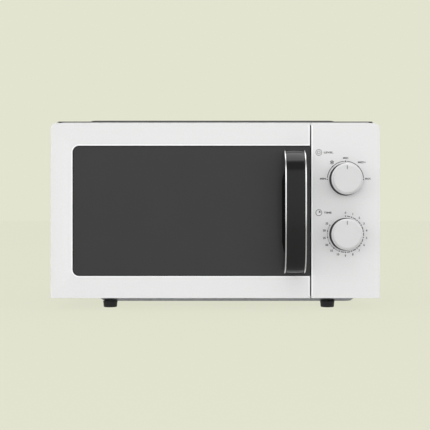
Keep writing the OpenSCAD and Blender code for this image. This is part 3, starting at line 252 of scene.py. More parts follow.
def new_material(name, **values):
    """A material with one Principled shader and Object coordinates: tree, shader, coordinates."""
    material = bpy.data.materials.new(name)
    material.use_nodes = True
    tree = material.node_tree
    shader = tree.nodes["Principled BSDF"]
    for key, value in values.items():
        shader.inputs[key.replace("_", " ")].default_value = value
    place = add(tree, "ShaderNodeTexCoord").outputs["Object"]
    return material, tree, shader, place


def rgba(colour, factor=1.0):
    """A colour setting as red, green, blue and alpha, lightened or darkened."""
    return (*(min(1.0, c * factor) for c in colour), 1.0)


def per_mm(length):
    """The scale of a texture whose detail has a length in millimetres."""
    return 1000 / length


def shades(colour, low, high):
    """A colour darkened and lightened: the two ends of its variation."""
    return rgba(colour, low), rgba(colour, high)


def object_place(tree):
    """The Object coordinates in a material's tree."""
    return tree.nodes["Texture Coordinate"].outputs["Object"]


def noise(tree, place, length, detail=2.0, roughness=0.5):
    """A noise whose blobs have a length in millimetres."""
    return add(
        tree,
        "ShaderNodeTexNoise",
        {"Scale": per_mm(length), "Detail": detail, "Roughness": roughness},
        {"Vector": place},
    ).outputs["Fac"]


def blend_colours(tree, factor, low, high):
    """Two colours blended by a factor."""
    mix = add(
        tree,
        "ShaderNodeMix",
        {MIX_LOW: low, MIX_HIGH: high},
        {MIX_FACTOR: factor},
        data_type="RGBA",
    )
    return mix.outputs[MIX_RESULT]


def spread(tree, value, low, high, start=0.0, end=1.0):
    """Maps a value from low..high to start..end, held inside."""
    return add(
        tree,
        "ShaderNodeMapRange",
        {"From Min": low, "From Max": high, "To Min": start, "To Max": end},
        {"Value": value},
    ).outputs["Result"]


def vary(tree, shader, pattern, span=(0.3, 0.7), tints=None, rough=None, relief=None):
    """Lets a pattern vary a shader over the span of the pattern's values.

    tints are two colours, rough is two roughnesses, relief is a depth in millimetres and a strength.
    """
    if tints:
        tint = blend_colours(tree, spread(tree, pattern, *span), *tints)
        tree.links.new(tint, shader.inputs["Base Color"])
    if rough:
        tree.links.new(spread(tree, pattern, *span, *rough), shader.inputs["Roughness"])
    if relief:
        depth, strength = relief
        raised = add(
            tree, "ShaderNodeBump", {"Strength": strength, "Distance": depth * MM}, {"Height": pattern}
        )
        tree.links.new(raised.outputs["Normal"], shader.inputs["Normal"])


def grained(name, length, detail=2.0, roughness=0.5, stretch=(1, 1, 1), **values):
    """A material with a grain whose blobs have a length in millimetres: also its tree, shader and grain."""
    material, tree, shader, place = new_material(name, **values)
    stretched = add(tree, "ShaderNodeMapping", {"Scale": stretch}, {"Vector": place}).outputs[0]
    return material, tree, shader, noise(tree, stretched, length, detail, roughness)


def white_abs():
    """ABS moulded in a spark-eroded tool: a fine matt grain that breaks up the gloss.

    The mottle is drawn at 2.2 mm, coarser than the real grain, so that it shows.
    """
    material, tree, shader, mottle = grained("white_abs_spark_grain", 2.2, 3, 0.7, IOR=1.54)
    vary(tree, shader, mottle, tints=shades(colours().front, 0.975, 1.02), rough=(0.5, 0.6))
    vary(tree, shader, noise(tree, object_place(tree), 0.9, 2, 0.6), relief=(0.02, 0.4))
    return material


def edge_finish(name, low, high, grain, **values):
    """One dark or bright tone with a little grain: the white of the painted highlight lines, the near-black
    of the painted shade line in the window, and a matt black.
    """
    material, tree, shader, tone = grained(name, grain, **values)
    vary(tree, shader, tone, (0, 1), tints=(rgba(linear(low)), rgba(linear(high))))
    return material


def knob_abs():
    """ABS with a satin face: an even fine grain under a smooth skin."""
    material, tree, shader, grain = grained("knob_abs_satin", 0.7, IOR=1.54)
    vary(
        tree,
        shader,
        grain,
        tints=shades(colours().knob, 0.975, 1.01),
        rough=(0.36, 0.46),
        relief=(0.012, 0.4),
    )
    return material


def smoked_acrylic():
    """Smoked acrylic, painted behind and hard-coated in front: deep grey with a satin gloss."""
    material, tree, shader, haze = grained("smoked_acrylic_satin", 60, IOR=1.49)
    vary(tree, shader, haze, tints=shades(colours().window, 0.97, 1.03))
    vary(tree, shader, noise(tree, object_place(tree), 0.5), rough=(0.4, 0.46))
    return material


def gloss_black():
    """Piano-black ABS, polished: deep black with a mirror skin and faint hairline wiping marks."""
    material, tree, shader, marks = grained("gloss_black_abs", 0.8, 4, 0.7, (1, 1, 0.08), IOR=1.5)
    vary(tree, shader, marks, tints=shades(colours().handle, 0.9, 1.15))
    vary(tree, shader, marks, (0.45, 0.75), rough=(0.1, 0.17))
    return material


def bright_chrome():
    """Chrome plated on ABS: bright, with a slow ripple where the plating levels."""
    material, tree, shader, ripple = grained("bright_chrome_plating", 7, Metallic=1.0)
    vary(
        tree,
        shader,
        ripple,
        tints=shades(colours().chrome, 0.96, 1.02),
        rough=(0.06, 0.12),
        relief=(0.02, 0.3),
    )
    return material


def print_ink():
    """Pad-printed ink: matt grey with tiny thin spots."""
    material, tree, shader, spots = grained("pad_printed_ink", 0.25, Roughness=0.6)
    vary(tree, shader, spots, tints=shades(colours().ink, 0.9, 1.2))
    return material


def stoved_paint(name, colour, peel, gloss):
    """Stoved paint on sheet steel: a slow orange peel, with fine grit in it."""
    material, tree, shader, grit = grained(name, 0.6, 2, 0.6, IOR=1.5)
    vary(tree, shader, grit, (0.3, 0.75), tints=shades(colour, 0.96, 1.03))
    vary(tree, shader, grit, rough=(gloss, gloss + 0.08))
    vary(tree, shader, noise(tree, object_place(tree), peel), relief=(0.05, 0.35))
    return material


def cabinet_paint():
    """Silver-grey metallic paint on the cabinet, with painted shade: dark grey on the slopes of the pressed
    step.

    The metal flakes are drawn at 0.5 mm, coarser than the real ones, so that they show.
    """
    colour = colours().cabinet
    material, tree, shader, peel = grained("silver_grey_paint_and_step_shade", 3.5, Metallic=0.25, IOR=1.5)
    vary(tree, shader, peel, relief=(0.05, 0.3))
    place = object_place(tree)
    flakes = add(tree, "ShaderNodeTexVoronoi", {"Scale": per_mm(0.5)}, {"Vector": place})
    sparkle = add(tree, "ShaderNodeSeparateColor", links={0: flakes.outputs["Color"]}).outputs[0]
    vary(tree, shader, sparkle, (0, 1), tints=shades(colour, 0.93, 1.05), rough=(0.34, 0.44))
    fresh = shader.inputs["Base Color"].links[0].from_socket
    normal = add(tree, "ShaderNodeNewGeometry").outputs["Normal"]
    upright = add(tree, "ShaderNodeSeparateXYZ", links={0: normal}).outputs["Z"]
    height = add(tree, "ShaderNodeSeparateXYZ", links={0: place}).outputs["Z"]
    # Painted shade: where the surface lies above step_foot and tilts away from level, the paint turns dark
    # grey 2C2C2C.
    step_foot = CABINET_HIGH.z - STEP_SHADE_DEPTH
    above = spread(tree, height, step_foot, step_foot + 0.4 * MM)
    slope = spread(tree, upright, 0.97, 0.995, 1.0, 0.0)
    shaded = add(tree, "ShaderNodeMath", links={0: above, 1: slope}, operation="MULTIPLY").outputs[0]
    step_shade_tint = blend_colours(tree, shaded, rgba(colour), rgba(linear("2C2C2C")))
    tree.links.new(fresh, step_shade_tint.node.inputs[MIX_LOW])
    tree.links.new(step_shade_tint, shader.inputs["Base Color"])
    return material


def galvanised():
    """Hot-dip galvanised sheet: grey crystals of zinc a few millimetres across."""
    material, tree, shader, place = new_material("galvanised_sheet", Metallic=0.85)
    crystals = add(tree, "ShaderNodeTexVoronoi", {"Scale": per_mm(6)}, {"Vector": place})
    shade = add(tree, "ShaderNodeSeparateColor", links={0: crystals.outputs["Color"]}).outputs[0]
    vary(tree, shader, shade, (0, 1), tints=shades(colours().zinc, 0.84, 1.08), rough=(0.34, 0.5))
    return material


def metal(name, colour, roughness, grain=1.2, direction=(1, 1, 1)):
    """A bare metal with drawn or rolled grain along one direction."""
    material, tree, shader, lines = grained(name, grain, 3, 0.6, direction, Metallic=1.0)
    spread = (roughness - ROUGH_SPREAD, roughness + ROUGH_SPREAD)
    vary(tree, shader, lines, tints=shades(linear(colour), 0.86, 1.08), rough=spread)
    return material


def moulding(name, colour, roughness, grain=0.8, depth=0.02):
    """A plain moulded plastic or rubber with a fine grain."""
    material, tree, shader, specks = grained(name, grain, 3, 0.6, IOR=1.5)
    spread = (roughness - ROUGH_SPREAD, roughness + ROUGH_SPREAD)
    vary(tree, shader, specks, tints=shades(colour, 0.88, 1.1), rough=spread, relief=(depth, 0.5))
    return material


def clear_glass(name, tint, ripple):
    """Pressed soda-lime glass: clear and faintly green, with slow ripples from its mould."""
    material, tree, shader, waves = grained(
        name, ripple, Transmission_Weight=1.0, IOR=1.52, Roughness=0.03
    )
    vary(tree, shader, waves, tints=shades(linear(tint), 0.98, 1.0), relief=(0.05, 0.2))
    return material


def mica_sheet():
    """Pressed mica: flakes of pale brown with a silky sheen."""
    material, tree, shader, place = new_material("pressed_mica", Sheen_Weight=0.3)
    flakes = add(
        tree, "ShaderNodeTexVoronoi", {"Scale": per_mm(5)}, {"Vector": place}, feature="SMOOTH_F1"
    ).outputs["Distance"]
    tints = (rgba(linear("B7A88C")), rgba(linear("8C7C62")))
    vary(tree, shader, flakes, (0, 0.7), tints=tints, rough=(0.3, 0.55))
    return material


def banded(name, pitch, direction, wobble, tints, rough, relief, metallic):
    """A metal that lies in bands a pitch in millimetres apart along one direction."""
    material, tree, shader, place = new_material(name, Metallic=metallic)
    bands = add(
        tree,
        "ShaderNodeTexWave",
        {"Scale": per_mm(pitch) * WAVE_PERIOD, "Distortion": wobble, "Detail": 1.0},
        {"Vector": place},
        bands_direction=direction,
    ).outputs["Fac"]
    tones = tuple(rgba(linear(tint)) for tint in tints)
    vary(tree, shader, bands, (0, 1), tints=tones, rough=rough, relief=relief)
    return material


MATERIALS = {}


def finishes():
    """Makes every material once and keeps it under its slot's name."""
    if MATERIALS:
        return MATERIALS
    MATERIALS.update(
        white_abs=white_abs(),
        # Painted highlight: near-pure white, brighter than the moulded front, for lines along the window's
        # and the seam's edges
        polished_edge=edge_finish(
            "white_abs_painted_highlight", "FBFBFB", "FFFFFF", 2.2, IOR=1.54, Roughness=0.3
        ),
        # Painted shade: a near-black tone for the line just inside the window's edge
        shaded_edge=edge_finish("smoked_acrylic_painted_shade", "0C0C0C", "121212", 0.9, IOR=1.49, Roughness=0.45),
        matt_black=edge_finish(
            "matt_black_abs", "060606", "0E0E0E", 0.9, Roughness=0.7, Specular_IOR_Level=0.12
        ),
        knob_abs=knob_abs(),
        # Painted shade and painted reflection: the knobs' sides are dark grey
        knob_side=moulding("knob_side_painted_shade", linear("232323"), 0.5),
        window_acrylic=smoked_acrylic(),
        handle_black=gloss_black(),
        chrome_trim=bright_chrome(),
        ink=print_ink(),
        cabinet_paint=cabinet_paint(),
        zinc_steel=galvanised(),
        oven_enamel=stoved_paint("grey_oven_paint", colours().oven, 4.0, 0.32),
        foot_black=moulding("black_rubber", colours().rubber, 0.5, 0.9, 0.03),
        inlet_black=moulding("black_nylon", linear("1B1B1C"), 0.45),
        tray_glass=clear_glass("pressed_tray_glass", "E9F4F1", 14),
        nylon_white=moulding("natural_nylon", linear("E4E2DA"), 0.42),
        mica=mica_sheet(),
        lamp_glass=clear_glass("lamp_glass", "FFF6E0", 8),
        screw_steel=metal("bright_zinc_screws", "C9C9C6", 0.28),
        motor_plate=metal("yellow_zinc_plate", "C8B878", 0.36),
        fin_aluminium=metal("rolled_aluminium", "D6D7D9", 0.3, 1.5, (1, 0.1, 1)),
        copper=banded(
            "enamelled_copper_turns", 2.369, "Z", 1.5, ("6E3418", "C0713F"), (0.32, 0.24), (0.4, 0.8), 0.9
        ),
        laminations=banded(
            "varnished_laminations", 1.974, "Y", 0.4, ("1F1F21", "55565A"), (0.55, 0.4), (0.15, 0.6), 0.7
        ),
        capacitor_can=metal("drawn_aluminium_can", "CFD0D2", 0.32, 1.5, (1, 1, 0.1)),
        moulding_black=moulding("black_glass_filled_nylon", linear("232325"), 0.5),
        board_brown=moulding("phenolic_board", linear("8A5A2E"), 0.5, 2.0),
        fuse_ceramic=moulding("glazed_ceramic", linear("E6E1D6"), 0.2, 1.5, 0.01),
        timer_grey=moulding("grey_polyester", linear("8E9092"), 0.5),
        shaft_brass=metal("turned_brass", "C9A55C", 0.26, 1.0, (1, 12, 1)),
        screen_paint=stoved_paint("black_screen_paint", linear("2B2B2C"), 3.0, 0.42),
        cover_grey=moulding("dark_grey_cover", linear("3A3B3D"), 0.48, 0.9, 0.03),
        spring_steel=metal("spring_wire", "B9BABC", 0.24),
    )
    return MATERIALS


# ------------------------------------------------------------------ mesh helpers


def keep(obj, body, slot, *nodes):
    """Ties a finished piece to its body and hides the CAD nodes it stands for. The slot is not used."""
    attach(obj, body)
    if nodes:
        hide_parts(*nodes)
    return obj


def piece(name, mesh, material):
    """A new object that holds a mesh and one material."""
    obj = bpy.data.objects.new(name, mesh)
    mesh.materials.clear()
    mesh.materials.append(finishes()[material])
    bpy.context.scene.collection.objects.link(obj)
    return obj


def smooth(mesh, angle=35):
    """Shades a mesh smooth except across edges sharper than an angle in degrees."""
    mesh.polygons.foreach_set("use_smooth", [True] * len(mesh.polygons))
    mesh.set_sharp_from_angle(angle=math.radians(angle))
    mesh.update()


def mesh_from(name, work, angle=35):
    """Ends mesh work as a mesh with its faces turned outwards, smooth up to an angle in degrees."""
    bmesh.ops.recalc_face_normals(work, faces=work.faces)
    mesh = bpy.data.meshes.new(name)
    work.to_mesh(mesh)
    work.free()
    smooth(mesh, angle)
    return mesh


def skin(work, rows, capped=True):
    """Joins closed rows of equal length into a tube, and caps its two ends."""
    for a, b in zip(rows, rows[1:]):
        for k in range(len(a)):
            m = (k + 1) % len(a)
            work.faces.new((a[k], a[m], b[m], b[k]))
    if capped:
        work.faces.new(rows[0])
        work.faces.new(rows[-1])


def circle(radius, steps, turn=0.0):
    """Points round a circle as X and Z, turned on by a share of a step."""
    angles = [math.tau * (i + turn) / steps for i in range(steps)]
    return [(radius * math.cos(a), radius * math.sin(a)) for a in angles]


def body_of(node):
    """The body that a CAD node belongs to."""
    for body, nodes in frame["record"]["behaviour"]["bodies"].items():
        if node in nodes:
            return body
    raise ValueError(node + " is in no body")


def slot_of(node):
    """The material slot that the record gives a CAD node."""
    for entry in frame["record"]["subparts"]:
        if entry["node"] == node:
            return entry["material_slot"]
    raise ValueError(node + " has no slot")


def soften(node, name, width, segments=2, angle=35):
    """A copy of a CAD node with its edges rounded, which stands for the node."""
    mesh = frame["nodes"][node].data.copy()
    work = bmesh.new()
    work.from_mesh(mesh)
    bmesh.ops.remove_doubles(work, verts=work.verts, dist=SAME_PLACE)
    bmesh.ops.dissolve_limit(work, angle_limit=math.radians(1.0), verts=work.verts, edges=work.edges)
    work.to_mesh(mesh)
    work.free()
    obj = piece(name, mesh, slot_of(node))
    smooth(mesh, angle)
    if width:
        bevel = obj.modifiers.new("rounded_edges", "BEVEL")
        bevel.width = width
        bevel.segments = segments
        bevel.limit_method = "ANGLE"
        bevel.angle_limit = math.radians(angle)
        bevel.use_clamp_overlap = True
        bevel.harden_normals = True
    return keep(obj, body_of(node), slot_of(node), node)


def finish_node(node):
    """Gives a CAD node that stays as it is its procedural material."""
    obj = frame["nodes"][node]
    obj.data.materials.clear()
    obj.data.materials.append(finishes()[slot_of(node)])


def lathe(name, profile, origin, material, steps=96, axis="Y", smooth_angle=32):
    """Turns a profile of (radius, height) points round an axis: height runs along -Y or +Z."""
    work = bmesh.new()
    rings = []
    for radius, height in profile:
        if radius < 1e-7:
            rings.append([work.verts.new(spot(origin, 0, height, 0, axis))])
            continue
        rings.append(
            [work.verts.new(spot(origin, radius, height, math.tau * i / steps, axis)) for i in range(steps)]
        )
    for low, high in zip(rings, rings[1:]):
        for i in range(steps):
            j = (i + 1) % steps
            quad = [low[i % len(low)], low[j % len(low)], high[j % len(high)], high[i % len(high)]]
            corners = list(dict.fromkeys(quad))
            if len(corners) > 2:
                work.faces.new(corners)
    return piece(name, mesh_from(name, work, smooth_angle), material)


def spot(origin, radius, height, turn, axis):
    """A point at a radius and turn round an axis, at a height along it."""
    if axis == "Y":
        return origin + Vector((radius * math.cos(turn), -height, radius * math.sin(turn)))
    return origin + Vector((radius * math.cos(turn), radius * math.sin(turn), height))


def join(name, objects):
    """Joins several objects into the first one."""
    work = bmesh.new()
    for obj in objects:
        work.from_mesh(obj.data)
    mesh = bpy.data.meshes.new(name)
    work.to_mesh(mesh)
    work.free()
    mesh.materials.append(objects[0].data.materials[0])
    for obj in objects:
        bpy.data.objects.remove(obj)
    joined = bpy.data.objects.new(name, mesh)
    bpy.context.scene.collection.objects.link(joined)
    smooth(mesh)
    return joined


# ------------------------------------------------------------------ repeating pieces


def socket(tree, name, kind, **settings):
    """A named input of a Geometry Nodes tree."""
    made = tree.interface.new_socket(name=name, in_out="INPUT", socket_type=kind)
    for key, value in settings.items():
        setattr(made, key, value)
    return made.identifier


def new_tree(name):
    """A Geometry Nodes tree with its Geometry sockets: the tree, its input node and output node."""
    tree = bpy.data.node_groups.new(name, "GeometryNodeTree")
    tree.interface.new_socket(name="Geometry", in_out="INPUT", socket_type="NodeSocketGeometry")
    tree.interface.new_socket(name="Geometry", in_out="OUTPUT", socket_type="NodeSocketGeometry")
    return tree, add(tree, "NodeGroupInput"), add(tree, "NodeGroupOutput")


def finish_tree(tree, entry, end, geometry):
    """Ends a tree with real instances and a material."""
    real = add(tree, "GeometryNodeRealizeInstances", links={"Geometry": geometry})
    painted = add(
        tree,
        "GeometryNodeSetMaterial",
        links={"Geometry": real.outputs[0], "Material": entry.outputs["Material"]},
    )
    tree.links.new(painted.outputs[0], end.inputs[0])
    return tree


def on_points_tree():
    """A tree that puts one shape on every point of its mesh."""
    tree, entry, end = new_tree("shape_on_points")
    socket(tree, "Shape", "NodeSocketObject")
    socket(tree, "Material", "NodeSocketMaterial")
    shape = add(tree, "GeometryNodeObjectInfo", links={"Object": entry.outputs["Shape"]})
    points = add(tree, "GeometryNodeMeshToPoints", links={"Mesh": entry.outputs["Geometry"]})
    copies = add(
        tree,
        "GeometryNodeInstanceOnPoints",
        links={"Points": points.outputs[0], "Instance": shape.outputs["Geometry"]},
    )
    return finish_tree(tree, entry, end, copies.outputs[0])


def tile_tree():
    """A tree that lays one tile in columns and rows on an upright sheet."""
    tree, entry, end = new_tree("tiles_on_sheet")
    socket(tree, "Shape", "NodeSocketObject")
    socket(tree, "Material", "NodeSocketMaterial")
    socket(tree, "Pitch", "NodeSocketFloat", subtype="DISTANCE", default_value=3 * MM)
    socket(tree, "Columns", "NodeSocketInt", default_value=10, min_value=2)
    socket(tree, "Rows", "NodeSocketInt", default_value=10, min_value=2)
    socket(tree, "Middle", "NodeSocketVector")
    wide = add(tree, "ShaderNodeMath", {1: 1.0}, {0: entry.outputs["Columns"]}, operation="SUBTRACT")
    high = add(tree, "ShaderNodeMath", {1: 1.0}, {0: entry.outputs["Rows"]}, operation="SUBTRACT")
    size_x = add(
        tree,
        "ShaderNodeMath",
        links={0: wide.outputs[0], 1: entry.outputs["Pitch"]},
        operation="MULTIPLY",
    )
    size_z = add(
        tree,
        "ShaderNodeMath",
        links={0: high.outputs[0], 1: entry.outputs["Pitch"]},
        operation="MULTIPLY",
    )
    grid = add(
        tree,
        "GeometryNodeMeshGrid",
        links={
            "Size X": size_x.outputs[0],
            "Size Y": size_z.outputs[0],
            "Vertices X": entry.outputs["Columns"],
            "Vertices Y": entry.outputs["Rows"],
        },
    )
    upright = add(
        tree,
        "GeometryNodeTransform",
        {"Rotation": (math.pi / 2, 0, 0)},
        {"Geometry": grid.outputs["Mesh"], "Translation": entry.outputs["Middle"]},
    )
    points = add(tree, "GeometryNodeMeshToPoints", links={"Mesh": upright.outputs[0]})
    shape = add(tree, "GeometryNodeObjectInfo", links={"Object": entry.outputs["Shape"]})
    copies = add(
        tree,
        "GeometryNodeInstanceOnPoints",
        links={"Points": points.outputs[0], "Instance": shape.outputs["Geometry"]},
    )
    return finish_tree(tree, entry, end, copies.outputs[0])


def coil_tree():
    """A tree that winds wire into a coil along Z."""
    tree, entry, end = new_tree("wound_wire")
    socket(tree, "Material", "NodeSocketMaterial")
    socket(tree, "Turns", "NodeSocketFloat", default_value=8.0)
    socket(tree, "Radius", "NodeSocketFloat", subtype="DISTANCE", default_value=2 * MM)
    socket(tree, "Wire", "NodeSocketFloat", subtype="DISTANCE", default_value=0.3 * MM)
    socket(tree, "Length", "NodeSocketFloat", subtype="DISTANCE", default_value=20 * MM)
    socket(tree, "Start", "NodeSocketVector")
    line = add(
        tree,
        "GeometryNodeCurveSpiral",
        {"Resolution": 28},
        {
            "Rotations": entry.outputs["Turns"],
            "Start Radius": entry.outputs["Radius"],
            "End Radius": entry.outputs["Radius"],
            "Height": entry.outputs["Length"],
        },
    )
    wire = add(
        tree,
        "GeometryNodeCurvePrimitiveCircle",
        {"Resolution": 10},
        {"Radius": entry.outputs["Wire"]},
    )
    tube = add(
        tree,
        "GeometryNodeCurveToMesh",
        {"Fill Caps": True},
        {"Curve": line.outputs[0], "Profile Curve": wire.outputs[0]},
    )
    placed = add(
        tree,
        "GeometryNodeTransform",
        links={"Geometry": tube.outputs[0], "Translation": entry.outputs["Start"]},
    )
    return finish_tree(tree, entry, end, placed.outputs[0])


def grow(name, tree, base, material, angle=35, **values):
    """Runs a tree on a base mesh with its inputs set and keeps the plain result as a piece."""
    holder = bpy.data.objects.new(name + "_base", base)
    bpy.context.scene.collection.objects.link(holder)
    modifier = holder.modifiers.new("tree", "NODES")
    modifier.node_group = tree
    values["Material"] = finishes()[material]
    for item in tree.interface.items_tree:
        if item.in_out == "INPUT" and item.name in values:
            modifier[item.identifier] = values[item.name]
    holder.update_tag()
    bpy.context.view_layer.update()
    seen = holder.evaluated_get(bpy.context.evaluated_depsgraph_get())
    mesh = bpy.data.meshes.new_from_object(seen)
    mesh.name = name
    bpy.data.objects.remove(holder)
    if not mesh.polygons:
        raise RuntimeError(name + " came out of its tree with no faces")
    smooth(mesh, angle)
    return piece(name, mesh, material)


def shape_object(name, work):
    """A shape for a tree to repeat, made from mesh work. It is removed once used."""
    bmesh.ops.recalc_face_normals(work, faces=work.faces)
    mesh = bpy.data.meshes.new(name)
    work.to_mesh(mesh)
    work.free()
    obj = bpy.data.objects.new(name, mesh)
    bpy.context.scene.collection.objects.link(obj)
    return obj


def point_mesh(name, points):
    """A mesh of loose points."""
    mesh = bpy.data.meshes.new(name)
    mesh.from_pydata([tuple(p) for p in points], [], [])
    return mesh


def screw_shape(radius, height):
    """A pan head with a cross recess that faces +Y."""
    work = bmesh.new()
    steps = 32
    arm, half = 0.62 * radius, 0.13 * radius
    cross = [
        (half, half), (half, arm), (-half, arm), (-half, half), (-arm, half), (-arm, -half),
        (-half, -half), (-half, -arm), (half, -arm), (half, -half), (arm, -half), (arm, half),
    ]
    rows = [(1.0, 0.0), (1.0, 0.45), (0.93, 0.75), (0.8, 0.95), (0.7, 1.0)]
    rings = [
        [work.verts.new((x, h * height, z)) for x, z in circle(r * radius, steps)]
        for r, h in rows
    ]
    skin(work, rings, capped=False)
    mouth = [work.verts.new((x, height, z)) for x, z in cross]
    floor = [work.verts.new((0.8 * x, 0.35 * height, 0.8 * z)) for x, z in cross]
    for i in range(12):
        j = (i + 1) % 12
        work.faces.new((mouth[i], mouth[j], floor[j], floor[i]))
    work.faces.new(floor)
    edges = [work.edges.get((rings[-1][i], rings[-1][(i + 1) % steps])) for i in range(steps)]
    edges += [work.edges.get((mouth[i], mouth[(i + 1) % 12])) for i in range(12)]
    bmesh.ops.triangle_fill(work, edges=edges, use_beauty=True)
    work.faces.new(rings[0])
    return shape_object("screw_shape", work)


def dot_shape(radius, depth):
    """A thin round dot that faces -Y."""
    work = bmesh.new()
    steps = 16
    front = [work.verts.new((x, -depth, z)) for x, z in circle(radius, steps)]
    back = [work.verts.new((v.co.x, 0, v.co.z)) for v in front]
    work.faces.new(front)
    work.faces.new(back)
    for i in range(steps):
        j = (i + 1) % steps
        work.faces.new((front[i], front[j], back[j], back[i]))
    return shape_object("dot_shape", work)


def tile_shape(pitch, hole, depth):
    """A square of sheet with one round hole, open at its sides where the next tile joins."""
    work = bmesh.new()
    steps = 8
    layers = []
    for y in (0, depth):
        signs = ((1, 1), (-1, 1), (-1, -1), (1, -1))
        corners = [work.verts.new((sx * pitch / 2, y, sz * pitch / 2)) for sx, sz in signs]
        ring = [work.verts.new((x, y, z)) for x, z in circle(hole, steps, 0.5)]
        for k in range(4):
            first = 2 * k
            work.faces.new((corners[k], ring[first + 1], ring[first]))
            work.faces.new((corners[k], corners[(k + 1) % 4], ring[(first + 2) % steps], ring[first + 1]))
        layers.append(ring)
    for i in range(steps):
        j = (i + 1) % steps
        work.faces.new((layers[0][i], layers[0][j], layers[1][j], layers[1][i]))
    return shape_object("tile_shape", work)


# ------------------------------------------------------------------ handle

HANDLE_MIDDLE = (HANDLE_LOW + HANDLE_HIGH) / 2
HANDLE_HALF = (HANDLE_HIGH.z - HANDLE_LOW.z) / 2
HANDLE_OUT = FRONT_Y - HANDLE_LOW.y


def bow_point(u, out, half):
    """The bow's side view at u, from -1 at its foot to 1 at its head: Y and Z."""
    reach = out * max(0.0, 1 - abs(u) ** BOW_POWER) ** (1 / BOW_ROOT)
    return Vector((0, FRONT_Y - reach, HANDLE_MIDDLE.z + half * u))


def rounded_section(x0, x1, radius, crown):
    """Points across the bow from left to right: X and depth below the outer line.

    A depth of None stands for the inner line.
    """
    points = [(x0, None)]
    steps = 5
    for i in range(steps + 1):
        a = math.pi / 2 * i / steps
        points.append((x0 + radius * (1 - math.cos(a)), radius * (1 - math.sin(a)) + crown))
    for i in range(1, 10):
        t = i / 10
        points.append((x0 + radius + (x1 - x0 - 2 * radius) * t, crown * (2 * t - 1) ** 2))
    for i in range(steps + 1):
        a = math.pi / 2 * (1 - i / steps)
        points.append((x1 - radius * (1 - math.cos(a)), radius * (1 - math.sin(a)) + crown))
    points.append((x1, None))
    return points


def swept_bow(work, x0, x1, outer, inner, radius, crown):
    """Adds a solid swept along the bow between its outer and inner lines, with rounded front edges."""
    section = rounded_section(x0, x1, radius, crown)
    rings = []
    for i in range(BOW_STEPS + 1):
        u = math.cos(math.pi * i / BOW_STEPS)
        top, low = bow_point(u, *outer), bow_point(u, *inner)
        down = low - top
        ring = []
        for x, depth in section:
            share = 1.0 if depth is None else min(0.9, depth / max(down.length, 1e-6))
            ring.append(work.verts.new(top + down * share + Vector((x, 0, 0))))
        rings.append(ring)
    skin(work, rings)


def build_handle():
    """The bow handle: its black bar with the raised face, its finger lip and the two bright trims."""
    size = sizes()
    x0, x1 = HANDLE_LOW.x, HANDLE_HIGH.x
    trim_depth = size.trim_depth
    foot = 18 * MM
    work = bmesh.new()
    swept_bow(
        work, x0 + 0.1 * MM, x1 - 0.1 * MM,
        (HANDLE_OUT - trim_depth, HANDLE_HALF - trim_depth),
        (HANDLE_OUT - size.bow_thickness, HANDLE_HALF - foot), 0.5 * MM, 0.0,
    )
    swept_bow(
        work, x0 + size.trim_width + TRIM_GAP, x1 - size.trim_width - TRIM_GAP,
        (HANDLE_OUT - 0.4 * MM, HANDLE_HALF - 0.4 * MM),
        (HANDLE_OUT - trim_depth - 1 * MM, HANDLE_HALF - trim_depth - 1 * MM), 0.7 * MM, 0.5 * MM,
    )
    mesh = mesh_from("handle_bow", work, HANDLE_ANGLE)
    keep(piece("handle_bow", mesh, "handle_black"), "door", "handle_black", "handle_bar")
    work = bmesh.new()
    add_lip(work, x0, foot)
    mesh = mesh_from("finger_lip", work, HANDLE_ANGLE)
    keep(piece("finger_lip", mesh, "matt_black"), "door", "handle_black")
    work = bmesh.new()
    for left in (x0, x1 - size.trim_width):
        swept_bow(
            work, left, left + size.trim_width, (HANDLE_OUT, HANDLE_HALF),
            (HANDLE_OUT - trim_depth, HANDLE_HALF - trim_depth), 0.6 * MM, 0.15 * MM,
        )
    mesh = mesh_from("bright_trims", work, HANDLE_ANGLE)
    keep(piece("bright_trims", mesh, "chrome_trim"), "door", "chrome_trim", "handle_trims")


def add_lip(work, x0, foot):
    """Adds the finger lip: a blade on the handle's left side that tapers out at both ends."""
    size = sizes()
    y_front = FRONT_Y - HANDLE_OUT + size.bow_thickness - 3 * MM
    y_back = y_front + 5 * MM
    steps = 48
    rings = []
    for i in range(steps + 1):
        t = i / steps
        z = HANDLE_MIDDLE.z + (HANDLE_HALF - 1.4 * foot) * (2 * t - 1)
        fade = min(1.0, min(t, 1 - t) / 0.17)
        reach = size.lip * math.sin(fade * math.pi / 2) ** 1.5
        edge = min(0.9 * MM, reach * 0.45)
        outline = [
            (x0 + 1.5 * MM, y_front), (x0 - reach + edge, y_front), (x0 - reach, y_front + edge + 0.2 * MM),
            (x0 - reach, y_back - edge - 0.2 * MM), (x0 - reach + edge, y_back), (x0 + 1.5 * MM, y_back),
        ]
        rings.append([work.verts.new((x, y, z)) for x, y in outline])
    skin(work, rings)


# ------------------------------------------------------------------ knobs and prints


def cut_box(obj, low, high):
    """Cuts a box out of an object and keeps the plain result."""
    work = bmesh.new()
    bmesh.ops.create_cube(work, size=1.0)
    box = Matrix.Translation((low + high) / 2) @ Matrix.Diagonal((*(high - low), 1))
    bmesh.ops.transform(work, matrix=box, verts=work.verts)
    tool = shape_object("cutter", work)
    cut = obj.modifiers.new("cut", "BOOLEAN")
    cut.object = tool
    cut.solver = "EXACT"
    bpy.context.view_layer.update()
    mesh = bpy.data.meshes.new_from_object(obj.evaluated_get(bpy.context.evaluated_depsgraph_get()))
    obj.modifiers.clear()
    obj.data = mesh
    bpy.data.objects.remove(tool)
    smooth(mesh, 30)


